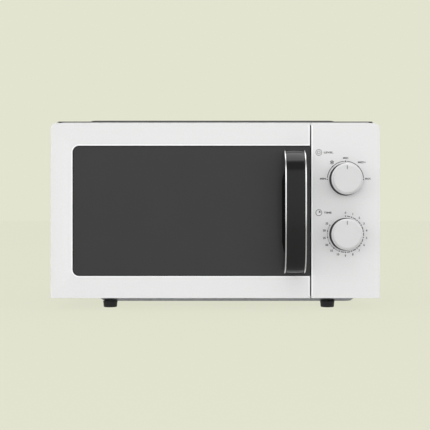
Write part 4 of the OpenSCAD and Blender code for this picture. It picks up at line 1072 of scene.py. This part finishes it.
def build_knob(node, body, middle):
    """One knob: its turned face with a bevel, a fine step and a pointer groove, and its side, coloured dark
    grey as painted shade and painted reflection.
    """
    radius = (KNOB_HIGH.x - KNOB_LOW.x) / 2
    height = KNOB_HIGH.y - KNOB_LOW.y
    back = Vector((middle.x, KNOB_HIGH.y, middle.z))
    rim = radius - 0.9 * MM
    cap_back = height - 2.6 * MM
    face = [
        (0, cap_back), (rim - 1.2 * MM, cap_back), (rim, cap_back), (rim, height - 2.2 * MM),
        (rim - 0.25 * MM, height - 1.95 * MM), (rim - 2.3 * MM, height - 0.95 * MM),
        (rim - 2.4 * MM, height - 1.2 * MM), (rim - 2.8 * MM, height - 1.2 * MM),
        (rim - 2.9 * MM, height - 0.15 * MM), (rim - 3.1 * MM, height), (0, height),
    ]
    cap = lathe(node + "_face", face, back, "knob_abs", 128)
    cut_box(
        cap,
        Vector((middle.x - 0.75 * MM, KNOB_LOW.y - 1 * MM, middle.z + 12.8 * MM)),
        Vector((middle.x + 0.75 * MM, KNOB_LOW.y + 0.7 * MM, middle.z + 18 * MM)),
    )
    keep(cap, body, "knob_abs", node)
    mark = upright_lines(
        (middle.x - 0.6 * MM, middle.x + 0.6 * MM), middle.z + 12.9 * MM, middle.z + 17.9 * MM
    )
    edging(node + "_pointer", *mark, KNOB_LOW.y + 0.5 * MM, 0.1 * MM, "timer_grey", body, "knob_abs")
    # The side, dark grey: painted shade and painted reflection round the knob's foot
    side = [
        (rim - 4 * MM, 0.2 * MM), (radius - 0.25 * MM, 0.2 * MM), (radius, 0.5 * MM), (radius, 1.9 * MM),
        (radius - 0.3 * MM, 2.3 * MM), (rim - 0.15 * MM, 3 * MM), (rim - 0.15 * MM, height - 2.7 * MM),
        (rim - 4 * MM, height - 2.7 * MM),
    ]
    keep(lathe(node + "_side", side, back, "knob_side", 128), body, "knob_abs")


def ribbon(work, middle, radius, start, end, width, depth):
    """Adds a thin arc, clockwise from the top as seen from the front, angles in degrees."""
    steps = max(2, int(abs(end - start) / 3))
    inside, outside = radius - width / 2, radius + width / 2
    section = ((inside, 0), (outside, 0), (outside, depth), (inside, depth))
    rows = []
    for i in range(steps + 1):
        a = math.radians(start + (end - start) * i / steps)
        rows.append(
            [
                work.verts.new((middle.x + r * math.sin(a), FRONT_Y - y, middle.z + r * math.cos(a)))
                for r, y in section
            ]
        )
    skin(work, rows, capped=abs(end - start) < 359.9)


def around(middle, radius, degrees):
    """A point on the panel round a dial, clockwise from the top as seen from the front."""
    a = math.radians(degrees)
    return Vector((middle.x + radius * math.sin(a), FRONT_Y, middle.z + radius * math.cos(a)))


def lettering(text, place, height, width=None):
    """Words or numbers as a thin mesh on the panel, centred on a place."""
    curve = bpy.data.curves.new("lettering", "FONT")
    curve.body = text
    curve.size = height / CAPITAL_SHARE
    curve.extrude = PRINT_DEPTH / 2
    curve.offset = 0.12 * MM
    curve.align_x = "CENTER"
    curve.resolution_u = 4
    holder = bpy.data.objects.new("lettering", curve)
    bpy.context.scene.collection.objects.link(holder)
    bpy.context.view_layer.update()
    mesh = bpy.data.meshes.new_from_object(holder.evaluated_get(bpy.context.evaluated_depsgraph_get()))
    bpy.data.objects.remove(holder)
    xs = [v.co.x for v in mesh.vertices]
    ys = [v.co.y for v in mesh.vertices]
    stretch = width / (max(xs) - min(xs)) if width else 1.0
    mesh.transform(Matrix.Translation((-(max(xs) + min(xs)) / 2, -(max(ys) + min(ys)) / 2, PRINT_DEPTH / 2)))
    mesh.transform(Matrix.Diagonal((stretch, 1, 1, 1)))
    mesh.transform(Matrix.Translation(place) @ Matrix.Rotation(math.pi / 2, 4, "X"))
    return piece("lettering", mesh, "ink")


def small_icons(work):
    """Adds the small signs: two rings for the level, a quarter clock for the time, a frost star."""
    level = Vector((SIGN_X, FRONT_Y, POWER.z + LEVEL_UP))
    for radius in (3.9 * MM, 1.9 * MM):
        ribbon(work, level, radius, 0, 360, 0.6 * MM, PRINT_DEPTH)
    clock = Vector((SIGN_X, FRONT_Y, TIMER.z + TIME_UP))
    ribbon(work, clock, 4.0 * MM, 0, 360, 0.7 * MM, PRINT_DEPTH)
    ribbon(work, clock, 1.3 * MM, 4, 86, 2.5 * MM, PRINT_DEPTH)
    frost = Vector((POWER.x - 18 * MM, FRONT_Y, POWER.z + 22.8 * MM))
    for a in range(0, 360, 60):
        ribbon(work, around(frost, 1.6 * MM, a), 0.8 * MM, a - 90, a + 90, 0.3 * MM, PRINT_DEPTH)
        for r in (0.5, 1.2, 1.9, 2.6):
            ribbon(work, around(frost, r * MM, a), 0.2 * MM, 0, 360, 0.4 * MM, PRINT_DEPTH)


def build_prints():
    """The scales, numbers and small signs printed on the control panel."""
    size = sizes()
    radius = size.scale_radius
    work = bmesh.new()
    for start, end in ((-85, -5), (5, 85)):
        ribbon(work, POWER, radius, start, end, 0.85 * MM, PRINT_DEPTH)
    ribbon(work, around(POWER, radius, 0), 0.5 * MM, 0, 360, 1.0 * MM, PRINT_DEPTH)
    for i in range(10):
        ribbon(work, TIMER, radius, 20 * i + 5, 20 * i + 15, 1.0 * MM, PRINT_DEPTH)
    ribbon(work, TIMER, radius, 203, 297, 0.4 * MM, PRINT_DEPTH)
    small_icons(work)
    prints = [piece("scale_lines", mesh_from("scale_lines", work), "ink")]
    minutes = [*range(11), 15, 20, 25, 30, 35]
    for i, minute in enumerate(minutes):
        prints.append(lettering(str(minute), around(TIMER, size.number_radius, 20 * i), size.number_height))
    labels = (
        ("MIN", (-30.0, 0.8), 8.0), ("MED", (0.3, 28.4), 7.0), ("MED+", (22.0, 22.8), 10.5),
        ("MAX", (30.2, 0.8), 7.6), ("LEVEL", (-22.6, 35.9), 12.5),
    )
    for text, (dx, dz), width in labels:
        place = Vector((POWER.x + dx * MM, FRONT_Y, POWER.z + dz * MM))
        prints.append(lettering(text, place, 2.3 * MM, width * MM))
    place = Vector((TIME_X, FRONT_Y, TIMER.z + TIME_UP))
    prints.append(lettering("TIME", place, 2.3 * MM, 10.5 * MM))
    keep(join("panel_prints", prints), "chassis", "white_abs")
    shape = dot_shape(0.85 * MM, PRINT_DEPTH)
    places = [around(TIMER, radius, 20 * i) for i in range(16)]
    places += [around(POWER, radius, a) for a in (-90, -45, 45, 90)]
    dots = grow("scale_dots", on_points_tree(), point_mesh("dot_places", places), "ink", Shape=shape)
    keep(dots, "chassis", "white_abs")
    bpy.data.objects.remove(shape)


# ------------------------------------------------------------------ screen, tray, screws and spring


def build_screen():
    """The door's screen: the pressed sheet with its choke rim, and its field of round holes."""
    size = sizes()
    pitch = size.hole_pitch
    low = Vector(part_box("door_shield")[0])
    window_low = Vector((PANE_LOW.x + 12 * MM, 0, PANE_LOW.z + 12 * MM))
    window_high = Vector((DOOR_HIGH.x - 60 * MM, 0, PANE_HIGH.z - 12 * MM))
    columns = int((window_high.x - window_low.x) / pitch)
    rows = int((window_high.z - window_low.z) / pitch)
    middle = (window_low + window_high) / 2
    reach = Vector((columns * pitch / 2, 0, rows * pitch / 2))
    mesh = frame["nodes"]["door_shield"].data.copy()
    work = bmesh.new()
    work.from_mesh(mesh)
    bmesh.ops.remove_doubles(work, verts=work.verts, dist=SAME_PLACE)
    for sign in (-1, 1):
        for axis in (Vector((1, 0, 0)), Vector((0, 0, 1))):
            bmesh.ops.bisect_plane(
                work,
                geom=work.verts[:] + work.edges[:] + work.faces[:],
                plane_co=middle + sign * reach,
                plane_no=axis,
                dist=1e-7,
            )
    inside = [
        f
        for f in work.faces
        if abs(f.calc_center_median().x - middle.x) < reach.x
        and abs(f.calc_center_median().z - middle.z) < reach.z
        and f.calc_center_median().y < low.y + 1.5 * SHEET
    ]
    bmesh.ops.delete(work, geom=inside, context="FACES")
    work.to_mesh(mesh)
    work.free()
    smooth(mesh)
    shape = tile_shape(pitch, min(size.hole_radius, 0.38 * pitch), SHEET)
    field = grow(
        "screen_field",
        tile_tree(),
        point_mesh("field_base", []),
        "screen_paint",
        Shape=shape,
        Pitch=pitch,
        Columns=columns,
        Rows=rows,
        Middle=Vector((middle.x, low.y, middle.z)),
    )
    bpy.data.objects.remove(shape)
    rim = piece("screen_rim", mesh, "screen_paint")
    keep(join("door_screen", [rim, field]), "door", "screen_paint", "door_shield")


def build_tray():
    """The glass tray: pressed in one piece, with a ring step, a rounded rim and its three lugs."""
    low, high = (Vector(c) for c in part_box("glass_tray"))
    middle = (low + high) / 2
    radius = (high.x - low.x) / 2
    origin = Vector((middle.x, middle.y, low.z + 4 * MM))
    m = MM
    profile = [
        (0, 4 * m), (60 * m, 4 * m), (60.5 * m, 4.25 * m), (62.5 * m, 4.25 * m), (63 * m, 4 * m),
        (radius - 17 * m, 4 * m), (radius - 14.5 * m, 4.3 * m), (radius - 11.5 * m, 5.6 * m),
        (radius - 4.2 * m, 10 * m), (radius - 2.6 * m, 10.9 * m), (radius - 1.3 * m, 11 * m),
        (radius - 0.3 * m, 10.5 * m), (radius, 9.5 * m), (radius - 0.5 * m, 8.6 * m),
        (radius - 1.6 * m, 7.9 * m), (radius - 8.8 * m, 1.8 * m), (radius - 12 * m, 0.5 * m),
        (radius - 15 * m, 0), (80 * m, 0), (79.5 * m, 0.2 * m), (74.5 * m, 0.2 * m), (74 * m, 0), (0, 0),
    ]
    dish = lathe("tray_dish", profile, origin, "tray_glass", 160, "Z", 28)
    lugs = []
    lug = [
        (0, 0), (1.9 * m, 0), (2.4 * m, 0.5 * m), (2.5 * m, 3.6 * m), (2.9 * m, 4.05 * m), (0, 4.05 * m),
    ]
    for degrees in (30, 150, 270):
        a = math.radians(degrees)
        foot = origin + Vector((12 * m * math.cos(a), 12 * m * math.sin(a), -4 * m))
        lugs.append(lathe("tray_lug", lug, foot, "tray_glass", 32, "Z"))
    keep(join("pressed_tray", [dish] + lugs), "turntable", "tray_glass", "glass_tray")


def node_islands(node):
    """The boxes of a CAD node's separate solids."""
    work = bmesh.new()
    work.from_mesh(frame["nodes"][node].data)
    bmesh.ops.remove_doubles(work, verts=work.verts, dist=SAME_PLACE)
    left = set(work.verts)
    boxes = []
    while left:
        stack = [left.pop()]
        seen = list(stack)
        while stack:
            for edge in stack.pop().link_edges:
                for vert in edge.verts:
                    if vert in left:
                        left.discard(vert)
                        stack.append(vert)
                        seen.append(vert)
        low = Vector([min(v.co[i] for v in seen) for i in range(3)])
        high = Vector([max(v.co[i] for v in seen) for i in range(3)])
        boxes.append((low, high))
    work.free()
    return boxes


def build_screws():
    """The cabinet's rear screws and the two screws behind the handle."""
    sets = (
        ("cabinet_screws", "rear_screw_heads", "chassis", 2 * MM),
        ("handle_screws", "handle_screw_heads", "door", 2.4 * MM),
    )
    for node, name, body, thick in sets:
        boxes = node_islands(node)
        low, high = boxes[0]
        radius = (high.x - low.x) / 2
        shape = screw_shape(radius, thick)
        places = [((a.x + b.x) / 2, b.y - thick, (a.z + b.z) / 2) for a, b in boxes]
        heads = grow(name, on_points_tree(), point_mesh(name, places), "screw_steel", 30, Shape=shape)
        bpy.data.objects.remove(shape)
        shanks = []
        for a, b in boxes:
            origin = Vector(((a.x + b.x) / 2, b.y - thick, (a.z + b.z) / 2))
            length = origin.y - a.y
            shank = [(0, 0)]
            turns = int(length / (0.8 * MM))
            for k in range(turns):
                y = length * k / turns
                shank += [(radius * 0.5, y + 0.01 * MM), (radius * 0.4, y + 0.4 * length / turns)]
            shank += [(radius * 0.3, length - 0.3 * MM), (0, length)]
            shanks.append(lathe("shank", shank, origin, "screw_steel", 20))
        keep(join(name, [heads] + shanks), body, "screw_steel", node)


def build_spring():
    """The latch spring, wound from wire. The real spring shortens as the latch rises; this piece keeps one
    length.
    """
    size = sizes()
    low, high = (Vector(c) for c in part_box("latch_spring"))
    middle = (low + high) / 2
    wire = 0.4 * MM
    coil = grow(
        "latch_coil",
        coil_tree(),
        point_mesh("coil_base", []),
        "spring_steel",
        60,
        Turns=float(size.turns),
        Radius=(high.x - low.x) / 2 - wire,
        Wire=wire,
        Length=high.z - low.z - 2 * wire,
        Start=Vector((middle.x, middle.y, low.z + wire)),
    )
    keep(coil, "door", "spring_steel", "latch_spring")
    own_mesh(coil)


# ------------------------------------------------------------------ edgings, flange and feet


def window_line(inset):
    """The outline of the window, open at the seam, set in by a distance: X and Z points."""
    radius = WINDOW_RADIUS - inset
    left, low, high = PANE_LOW.x + inset, PANE_LOW.z + inset, PANE_HIGH.z - inset
    along = left + radius
    points = [Vector((DOOR_HIGH.x - 0.3 * MM, 0, high))]
    for i in range(13):
        a = math.pi / 2 * (1 + i / 12)
        points.append(Vector((along + radius * math.cos(a), 0, high - radius + radius * math.sin(a))))
    for i in range(13):
        a = math.pi * (1 + i / 24)
        points.append(Vector((along + radius * math.cos(a), 0, low + radius + radius * math.sin(a))))
    points.append(Vector((DOOR_HIGH.x - 0.3 * MM, 0, low)))
    return points


def upright_lines(xs, low, high):
    """Two upright lines from low to high, one at each of two places in X."""
    return [[Vector((x, 0, z)) for z in (low, high)] for x in xs]


def edging(name, outer, inner, front, rise, material, body, slot):
    """A low crowned line between two outlines, which stands rise proud of the plane at front."""
    work = bmesh.new()
    rows = []
    for a, b in zip(outer, inner):
        steps = [(0, 0.0), (0.12, 0.7), (0.5, 1.0), (0.88, 0.7), (1, 0.0)]
        row = [work.verts.new(a.lerp(b, t) + Vector((0, front - h * rise, 0))) for t, h in steps]
        row += [work.verts.new(a.lerp(b, t) + Vector((0, front + 0.3 * MM, 0))) for t in (1, 0)]
        rows.append(row)
    skin(work, rows)
    keep(piece(name, mesh_from(name, work, 50), material), body, slot)


def build_edgings():
    """The painted highlight line round the window, the painted shade line inside it, painted highlight lines
    on both sides of the seam and a black strip of painted shade in the seam.
    """
    wide = sizes().window_edge
    rise = 0.12 * MM
    # Painted highlight: a bright white line round the window's rounded edge
    edging(
        "window_bead", window_line(-wide), window_line(0), FRONT_Y, rise, "polished_edge", "door",
        "white_abs",
    )
    # Painted shade: a near-black line on the pane just inside the window's edge
    edging(
        "window_shade", window_line(0), window_line(wide), PANE_LOW.y, 0.05 * MM, "shaded_edge", "door",
        "window_acrylic",
    )
    foot, head = PANEL_LOW.z + 3 * MM, PANEL_HIGH.z - 3 * MM
    sides = (PANEL_LOW.x + 0.5 * MM, PANEL_LOW.x + (0.5 * MM + wide))
    lines = upright_lines(sides, foot, head)
    # Painted highlight: a bright white line on the panel's edge at the seam
    edging("panel_bead", *lines, FRONT_Y, rise, "polished_edge", "chassis", "white_abs")
    # Painted highlight: bright white lines on the door's edge at the seam, above and below the window
    sides = (DOOR_HIGH.x - 0.5 * MM, DOOR_HIGH.x - (0.2 * MM + wide))
    for name, low, high in (("upper", PANE_HIGH.z + wide, head), ("lower", foot, PANE_LOW.z - wide)):
        lines = upright_lines(sides, low, high)
        edging("door_bead_" + name, *lines, FRONT_Y, rise, "polished_edge", "door", "white_abs")
    # Painted shade: a matt black strip set in the seam stands for the shade deep in the gap
    gap = PANEL_LOW.x - DOOR_HIGH.x
    seal = upright_lines((PANEL_LOW.x, PANEL_LOW.x - 0.75 * gap), foot, head)
    edging("seam_seal", *seal, FRONT_Y + 1.2 * MM, 0.3 * MM, "matt_black", "chassis", "white_abs")


def build_front_flange():
    """The cabinet's front flange: the sheet folded down behind the fronts, with a round bend."""
    low, high = (Vector(c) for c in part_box("outer_cabinet"))
    bend = 1.4 * MM
    reach = 9 * MM
    top = high.z - STEP_HEIGHT - SHEET - 0.02 * MM
    foot = DOOR_HIGH.z + 0.2 * MM
    half = high.x - 4.5 * MM
    outer = [(low.y + reach, top)]
    inner = [(low.y + reach, top - SHEET)]
    for i in range(9):
        a = math.pi / 2 * i / 8
        outer.append((low.y + bend * (1 - math.sin(a)), top - bend * (1 - math.cos(a))))
        tight = bend - SHEET
        inner.append((low.y + bend - tight * math.sin(a), top - bend + tight * math.cos(a)))
    outer.append((low.y, foot))
    inner.append((low.y + SHEET, foot))
    work = bmesh.new()
    profile = outer + inner[::-1]
    rows = []
    drops = ((0, 2.8 * MM), (2 * MM, 1.2 * MM), (6 * MM, 0))
    ends = [(-half + x, drop) for x, drop in drops] + [(half - x, drop) for x, drop in reversed(drops)]
    for x, drop in ends:
        rows.append([work.verts.new((x, y, max(foot, z - drop))) for y, z in profile])
    skin(work, rows)
    mesh = mesh_from("front_flange", work)
    keep(piece("front_flange", mesh, "cabinet_paint"), "chassis", "cabinet_paint")


def build_feet():
    """The rubber feet: turned with a chamfered foot and a shallow waist."""
    for node in ("front_feet", "rear_feet"):
        feet = []
        for low, high in node_islands(node):
            origin = Vector(((low.x + high.x) / 2, (low.y + high.y) / 2, low.z))
            radius = (high.x - low.x) / 2
            height = FOOT_HEIGHT
            profile = [
                (0, 0.3 * MM), (radius - 3.4 * MM, 0.3 * MM), (radius - 3 * MM, 0), (radius - 1.6 * MM, 0),
                (radius - 1.0 * MM, 0.3 * MM), (radius - 0.75 * MM, 0.9 * MM),
                (radius - 0.25 * MM, height - 1.6 * MM), (radius, height - 1.2 * MM),
                (radius, height - 0.02 * MM), (0, height - 0.02 * MM),
            ]
            feet.append(lathe("foot", profile, origin, "foot_black", 64, "Z"))
        keep(join("rubber_" + node, feet), "chassis", "foot_black", node)


# ------------------------------------------------------------------ stage


def build_stage():
    """Camera, pale floor and soft studio light."""
    scene = bpy.context.scene
    scene.view_settings.view_transform = "Standard"
    camera = bpy.data.objects.new("camera", bpy.data.cameras.new("camera"))
    scene.collection.objects.link(camera)
    camera.data.lens = CAMERA_LENS
    camera.data.sensor_width = 36
    camera.location = (CAMERA_SIDE, FRONT_Y - CAMERA_DISTANCE, CAMERA_HEIGHT)
    camera.rotation_euler = (math.pi / 2, 0, 0)
    camera.data.clip_end = 50
    scene.camera = camera
    build_floor()
    build_world()
    softbox("left_softbox", (-1.7, -1.5, 0.9), 1.1, 1.0, SIDE_LIGHT)
    softbox("right_softbox", (1.7, -1.5, 0.9), 1.1, 1.0, SIDE_LIGHT)
    softbox("top_softbox", (0, 0.0, 1.7), 1.5, 1.2, TOP_LIGHT)
    softbox("front_fill", (0, -2.2, 0.2), 1.2, 1.0, FRONT_LIGHT).visible_glossy = False


def softbox(name, place, width, height, power):
    """A soft rectangular light that looks at the oven's middle."""
    light = bpy.data.lights.new(name, "AREA")
    light.shape = "RECTANGLE"
    light.size = width
    light.size_y = height
    light.energy = power
    obj = bpy.data.objects.new(name, light)
    bpy.context.scene.collection.objects.link(obj)
    obj.location = place
    obj.rotation_euler = (Vector((0, 0, OVEN_MIDDLE)) - Vector(place)).to_track_quat("-Z", "Y").to_euler()
    obj.visible_camera = False
    return obj


def build_floor():
    """A wide pale floor that glows evenly, so only a faint contact shadow shows on it."""
    material = bpy.data.materials.new("studio_floor")
    material.use_nodes = True
    tree = material.node_tree
    tree.nodes.clear()
    path = add(tree, "ShaderNodeLightPath")
    tint = rgba(colours().backdrop)
    seen = blend_colours(tree, path.outputs["Is Camera Ray"], (FLOOR_GLOW, FLOOR_GLOW, FLOOR_GLOW, 1), tint)
    glow = add(tree, "ShaderNodeEmission", {"Strength": 1.0}, {"Color": seen})
    paper = add(tree, "ShaderNodeBsdfDiffuse", {"Color": rgba(colours().backdrop, 0.62), "Roughness": 1.0})
    blend = add(
        tree, "ShaderNodeMixShader", {0: SHADOW_SHARE}, {1: glow.outputs[0], 2: paper.outputs[0]}
    )
    out = add(tree, "ShaderNodeOutputMaterial")
    tree.links.new(blend.outputs[0], out.inputs["Surface"])
    mesh = bpy.data.meshes.new("floor")
    mesh.from_pydata([(-20, -20, 0), (20, -20, 0), (20, 20, 0), (-20, 20, 0)], [], [(0, 1, 2, 3)])
    mesh.materials.append(material)
    floor = bpy.data.objects.new("floor", mesh)
    bpy.context.scene.collection.objects.link(floor)


def build_world():
    """Soft surroundings: bright overhead, a darker band below that, and an even grey level with the oven."""
    world = bpy.data.worlds.new("studio")
    bpy.context.scene.world = world
    world.use_nodes = True
    tree = world.node_tree
    tree.nodes.clear()
    direction = add(tree, "ShaderNodeTexCoord").outputs["Generated"]
    height = add(tree, "ShaderNodeSeparateXYZ", links={0: direction}).outputs["Z"]
    ramp = add(tree, "ShaderNodeValToRGB", links={"Fac": spread(tree, height, -1, 1)})
    stops = ((0.0, 0.5), (0.5, 0.74), (0.68, 0.76), (0.72, 0.36), (0.87, 0.36), (0.91, 1.0), (1.0, 1.0))
    bands = ramp.color_ramp.elements
    while len(bands) < len(stops):
        bands.new(0.5)
    for band, (place, level) in zip(bands, stops):
        band.position = place
        band.color = (level, level, level, 1)
    across = add(tree, "ShaderNodeSeparateXYZ", links={0: direction}).outputs["X"]
    sideways = add(tree, "ShaderNodeMath", links={0: across}, operation="ABSOLUTE").outputs[0]
    lift = add(
        tree,
        "ShaderNodeMath",
        links={
            0: spread(tree, height, 0.8, 0.86, 1.0, WORLD_TOP),
            1: spread(tree, sideways, 0.42, 0.6, 0.0, WORLD_SIDE),
        },
        operation="ADD",
    ).outputs[0]
    path = add(tree, "ShaderNodeLightPath")
    light = add(tree, "ShaderNodeBackground", links={"Color": ramp.outputs["Color"], "Strength": lift})
    paper = add(tree, "ShaderNodeBackground", {"Color": rgba(colours().backdrop), "Strength": 1.0})
    both = add(
        tree,
        "ShaderNodeMixShader",
        links={0: path.outputs["Is Camera Ray"], 1: light.outputs[0], 2: paper.outputs[0]},
    )
    out = add(tree, "ShaderNodeOutputWorld")
    tree.links.new(both.outputs[0], out.inputs["Surface"])


# ------------------------------------------------------------------ operators

PLAIN_NODES = (
    "oven_cavity", "base_plate", "rear_panel", "cord_inlet", "waveguide", "waveguide_cover", "lamp_holder",
    "lamp_bulb", "turntable_motor", "turntable_coupler", "roller_ring", "roller_1", "roller_2", "roller_3",
    "magnetron_yoke", "magnetron_fins", "magnetron_antenna", "magnetron_filter_box", "transformer_core",
    "transformer_windings", "capacitor", "capacitor_clamp", "diode", "fan_bracket", "fan_motor_core",
    "fan_motor_coil", "fan_blade", "fan_shaft", "filter_board", "filter_coil", "fuse", "thermal_cutout",
    "latch_board", "door_switches", "timer_case", "timer_motor", "timer_bell", "timer_shaft", "power_shaft",
    "hinge_brackets", "hinge_pins", "latch_hook",
)


class OVEN_OT_cabinet(bpy.types.Operator):
    """Builds the painted cabinet with its pressed top and its rubber feet"""

    bl_idname = "oven.cabinet"
    bl_label = "Cabinet"

    def execute(self, context):
        soften("outer_cabinet", "painted_cabinet", sizes().sheet_edge)
        build_front_flange()
        build_feet()
        return {"FINISHED"}


class OVEN_OT_fronts(bpy.types.Operator):
    """Builds the moulded door frame, its window, its inner cover and the control panel"""

    bl_idname = "oven.fronts"
    bl_label = "Fronts"

    def execute(self, context):
        size = sizes()
        soften("door_frame", "moulded_door", size.edge, 3)
        soften("control_panel", "moulded_panel", size.edge, 3)
        soften("window_pane", "smoked_window", 0.4 * MM, 2)
        build_edgings()
        soften("choke_cover", "inner_cover", 0.4 * MM, 2)
        return {"FINISHED"}


class OVEN_OT_handle(bpy.types.Operator):
    """Builds the bow handle with its bright trims"""

    bl_idname = "oven.handle"
    bl_label = "Handle"

    def execute(self, context):
        build_handle()
        return {"FINISHED"}


class OVEN_OT_knobs(bpy.types.Operator):
    """Builds the power knob and the timer knob"""

    bl_idname = "oven.knobs"
    bl_label = "Knobs"

    def execute(self, context):
        build_knob("power_knob", "power_dial", POWER)
        build_knob("timer_knob", "timer_dial", TIMER)
        return {"FINISHED"}


class OVEN_OT_prints(bpy.types.Operator):
    """Prints the scales and their numbers on the control panel"""

    bl_idname = "oven.prints"
    bl_label = "Prints"

    def execute(self, context):
        build_prints()
        return {"FINISHED"}


class OVEN_OT_screen(bpy.types.Operator):
    """Builds the door's perforated screen"""

    bl_idname = "oven.screen"
    bl_label = "Screen"

    def execute(self, context):
        build_screen()
        return {"FINISHED"}


class OVEN_OT_tray(bpy.types.Operator):
    """Builds the pressed glass tray"""

    bl_idname = "oven.tray"
    bl_label = "Tray"

    def execute(self, context):
        build_tray()
        return {"FINISHED"}


class OVEN_OT_fasteners(bpy.types.Operator):
    """Builds the screws and the latch spring"""

    bl_idname = "oven.fasteners"
    bl_label = "Fasteners"

    def execute(self, context):
        build_screws()
        build_spring()
        return {"FINISHED"}


class OVEN_OT_insides(bpy.types.Operator):
    """Finishes the inner parts that keep their own shape"""

    bl_idname = "oven.insides"
    bl_label = "Insides"

    def execute(self, context):
        for node in PLAIN_NODES:
            finish_node(node)
        return {"FINISHED"}


class OVEN_OT_stage(bpy.types.Operator):
    """Sets up the camera, the floor and the studio light"""

    bl_idname = "oven.stage"
    bl_label = "Stage"

    def execute(self, context):
        build_stage()
        return {"FINISHED"}


class OVEN_PT_build(bpy.types.Panel):
    """Lists the steps that build the oven"""

    bl_label = "Microwave Oven"
    bl_idname = "OVEN_PT_build"
    bl_space_type = "VIEW_3D"
    bl_region_type = "UI"
    bl_category = "Oven"

    def draw(self, context):
        column = self.layout.column(align=True)
        for step in STEPS:
            column.operator(step.bl_idname)
        for group in (context.scene.oven.sizes, context.scene.oven.colours):
            for name in group.bl_rna.properties.keys():
                if name not in ("rna_type", "name"):
                    self.layout.prop(group, name)


STEPS = (
    OVEN_OT_cabinet, OVEN_OT_fronts, OVEN_OT_handle, OVEN_OT_knobs, OVEN_OT_prints, OVEN_OT_screen,
    OVEN_OT_tray, OVEN_OT_fasteners, OVEN_OT_insides, OVEN_OT_stage,
)
CLASSES = (OVEN_PG_sizes, OVEN_PG_colours, OVEN_PG_settings, *STEPS, OVEN_PT_build)


def register():
    """Adds the classes and the settings."""
    for cls in CLASSES:
        bpy.utils.register_class(cls)
    bpy.types.Scene.oven = PointerProperty(type=OVEN_PG_settings)


def unregister():
    """Removes the settings and the classes."""
    del bpy.types.Scene.oven
    for cls in reversed(CLASSES):
        bpy.utils.unregister_class(cls)


def main():
    """Builds the whole scene."""
    register()
    for step in STEPS:
        group, name = step.bl_idname.split(".")
        getattr(getattr(bpy.ops, group), name)()


if __name__ == "__main__":
    main()
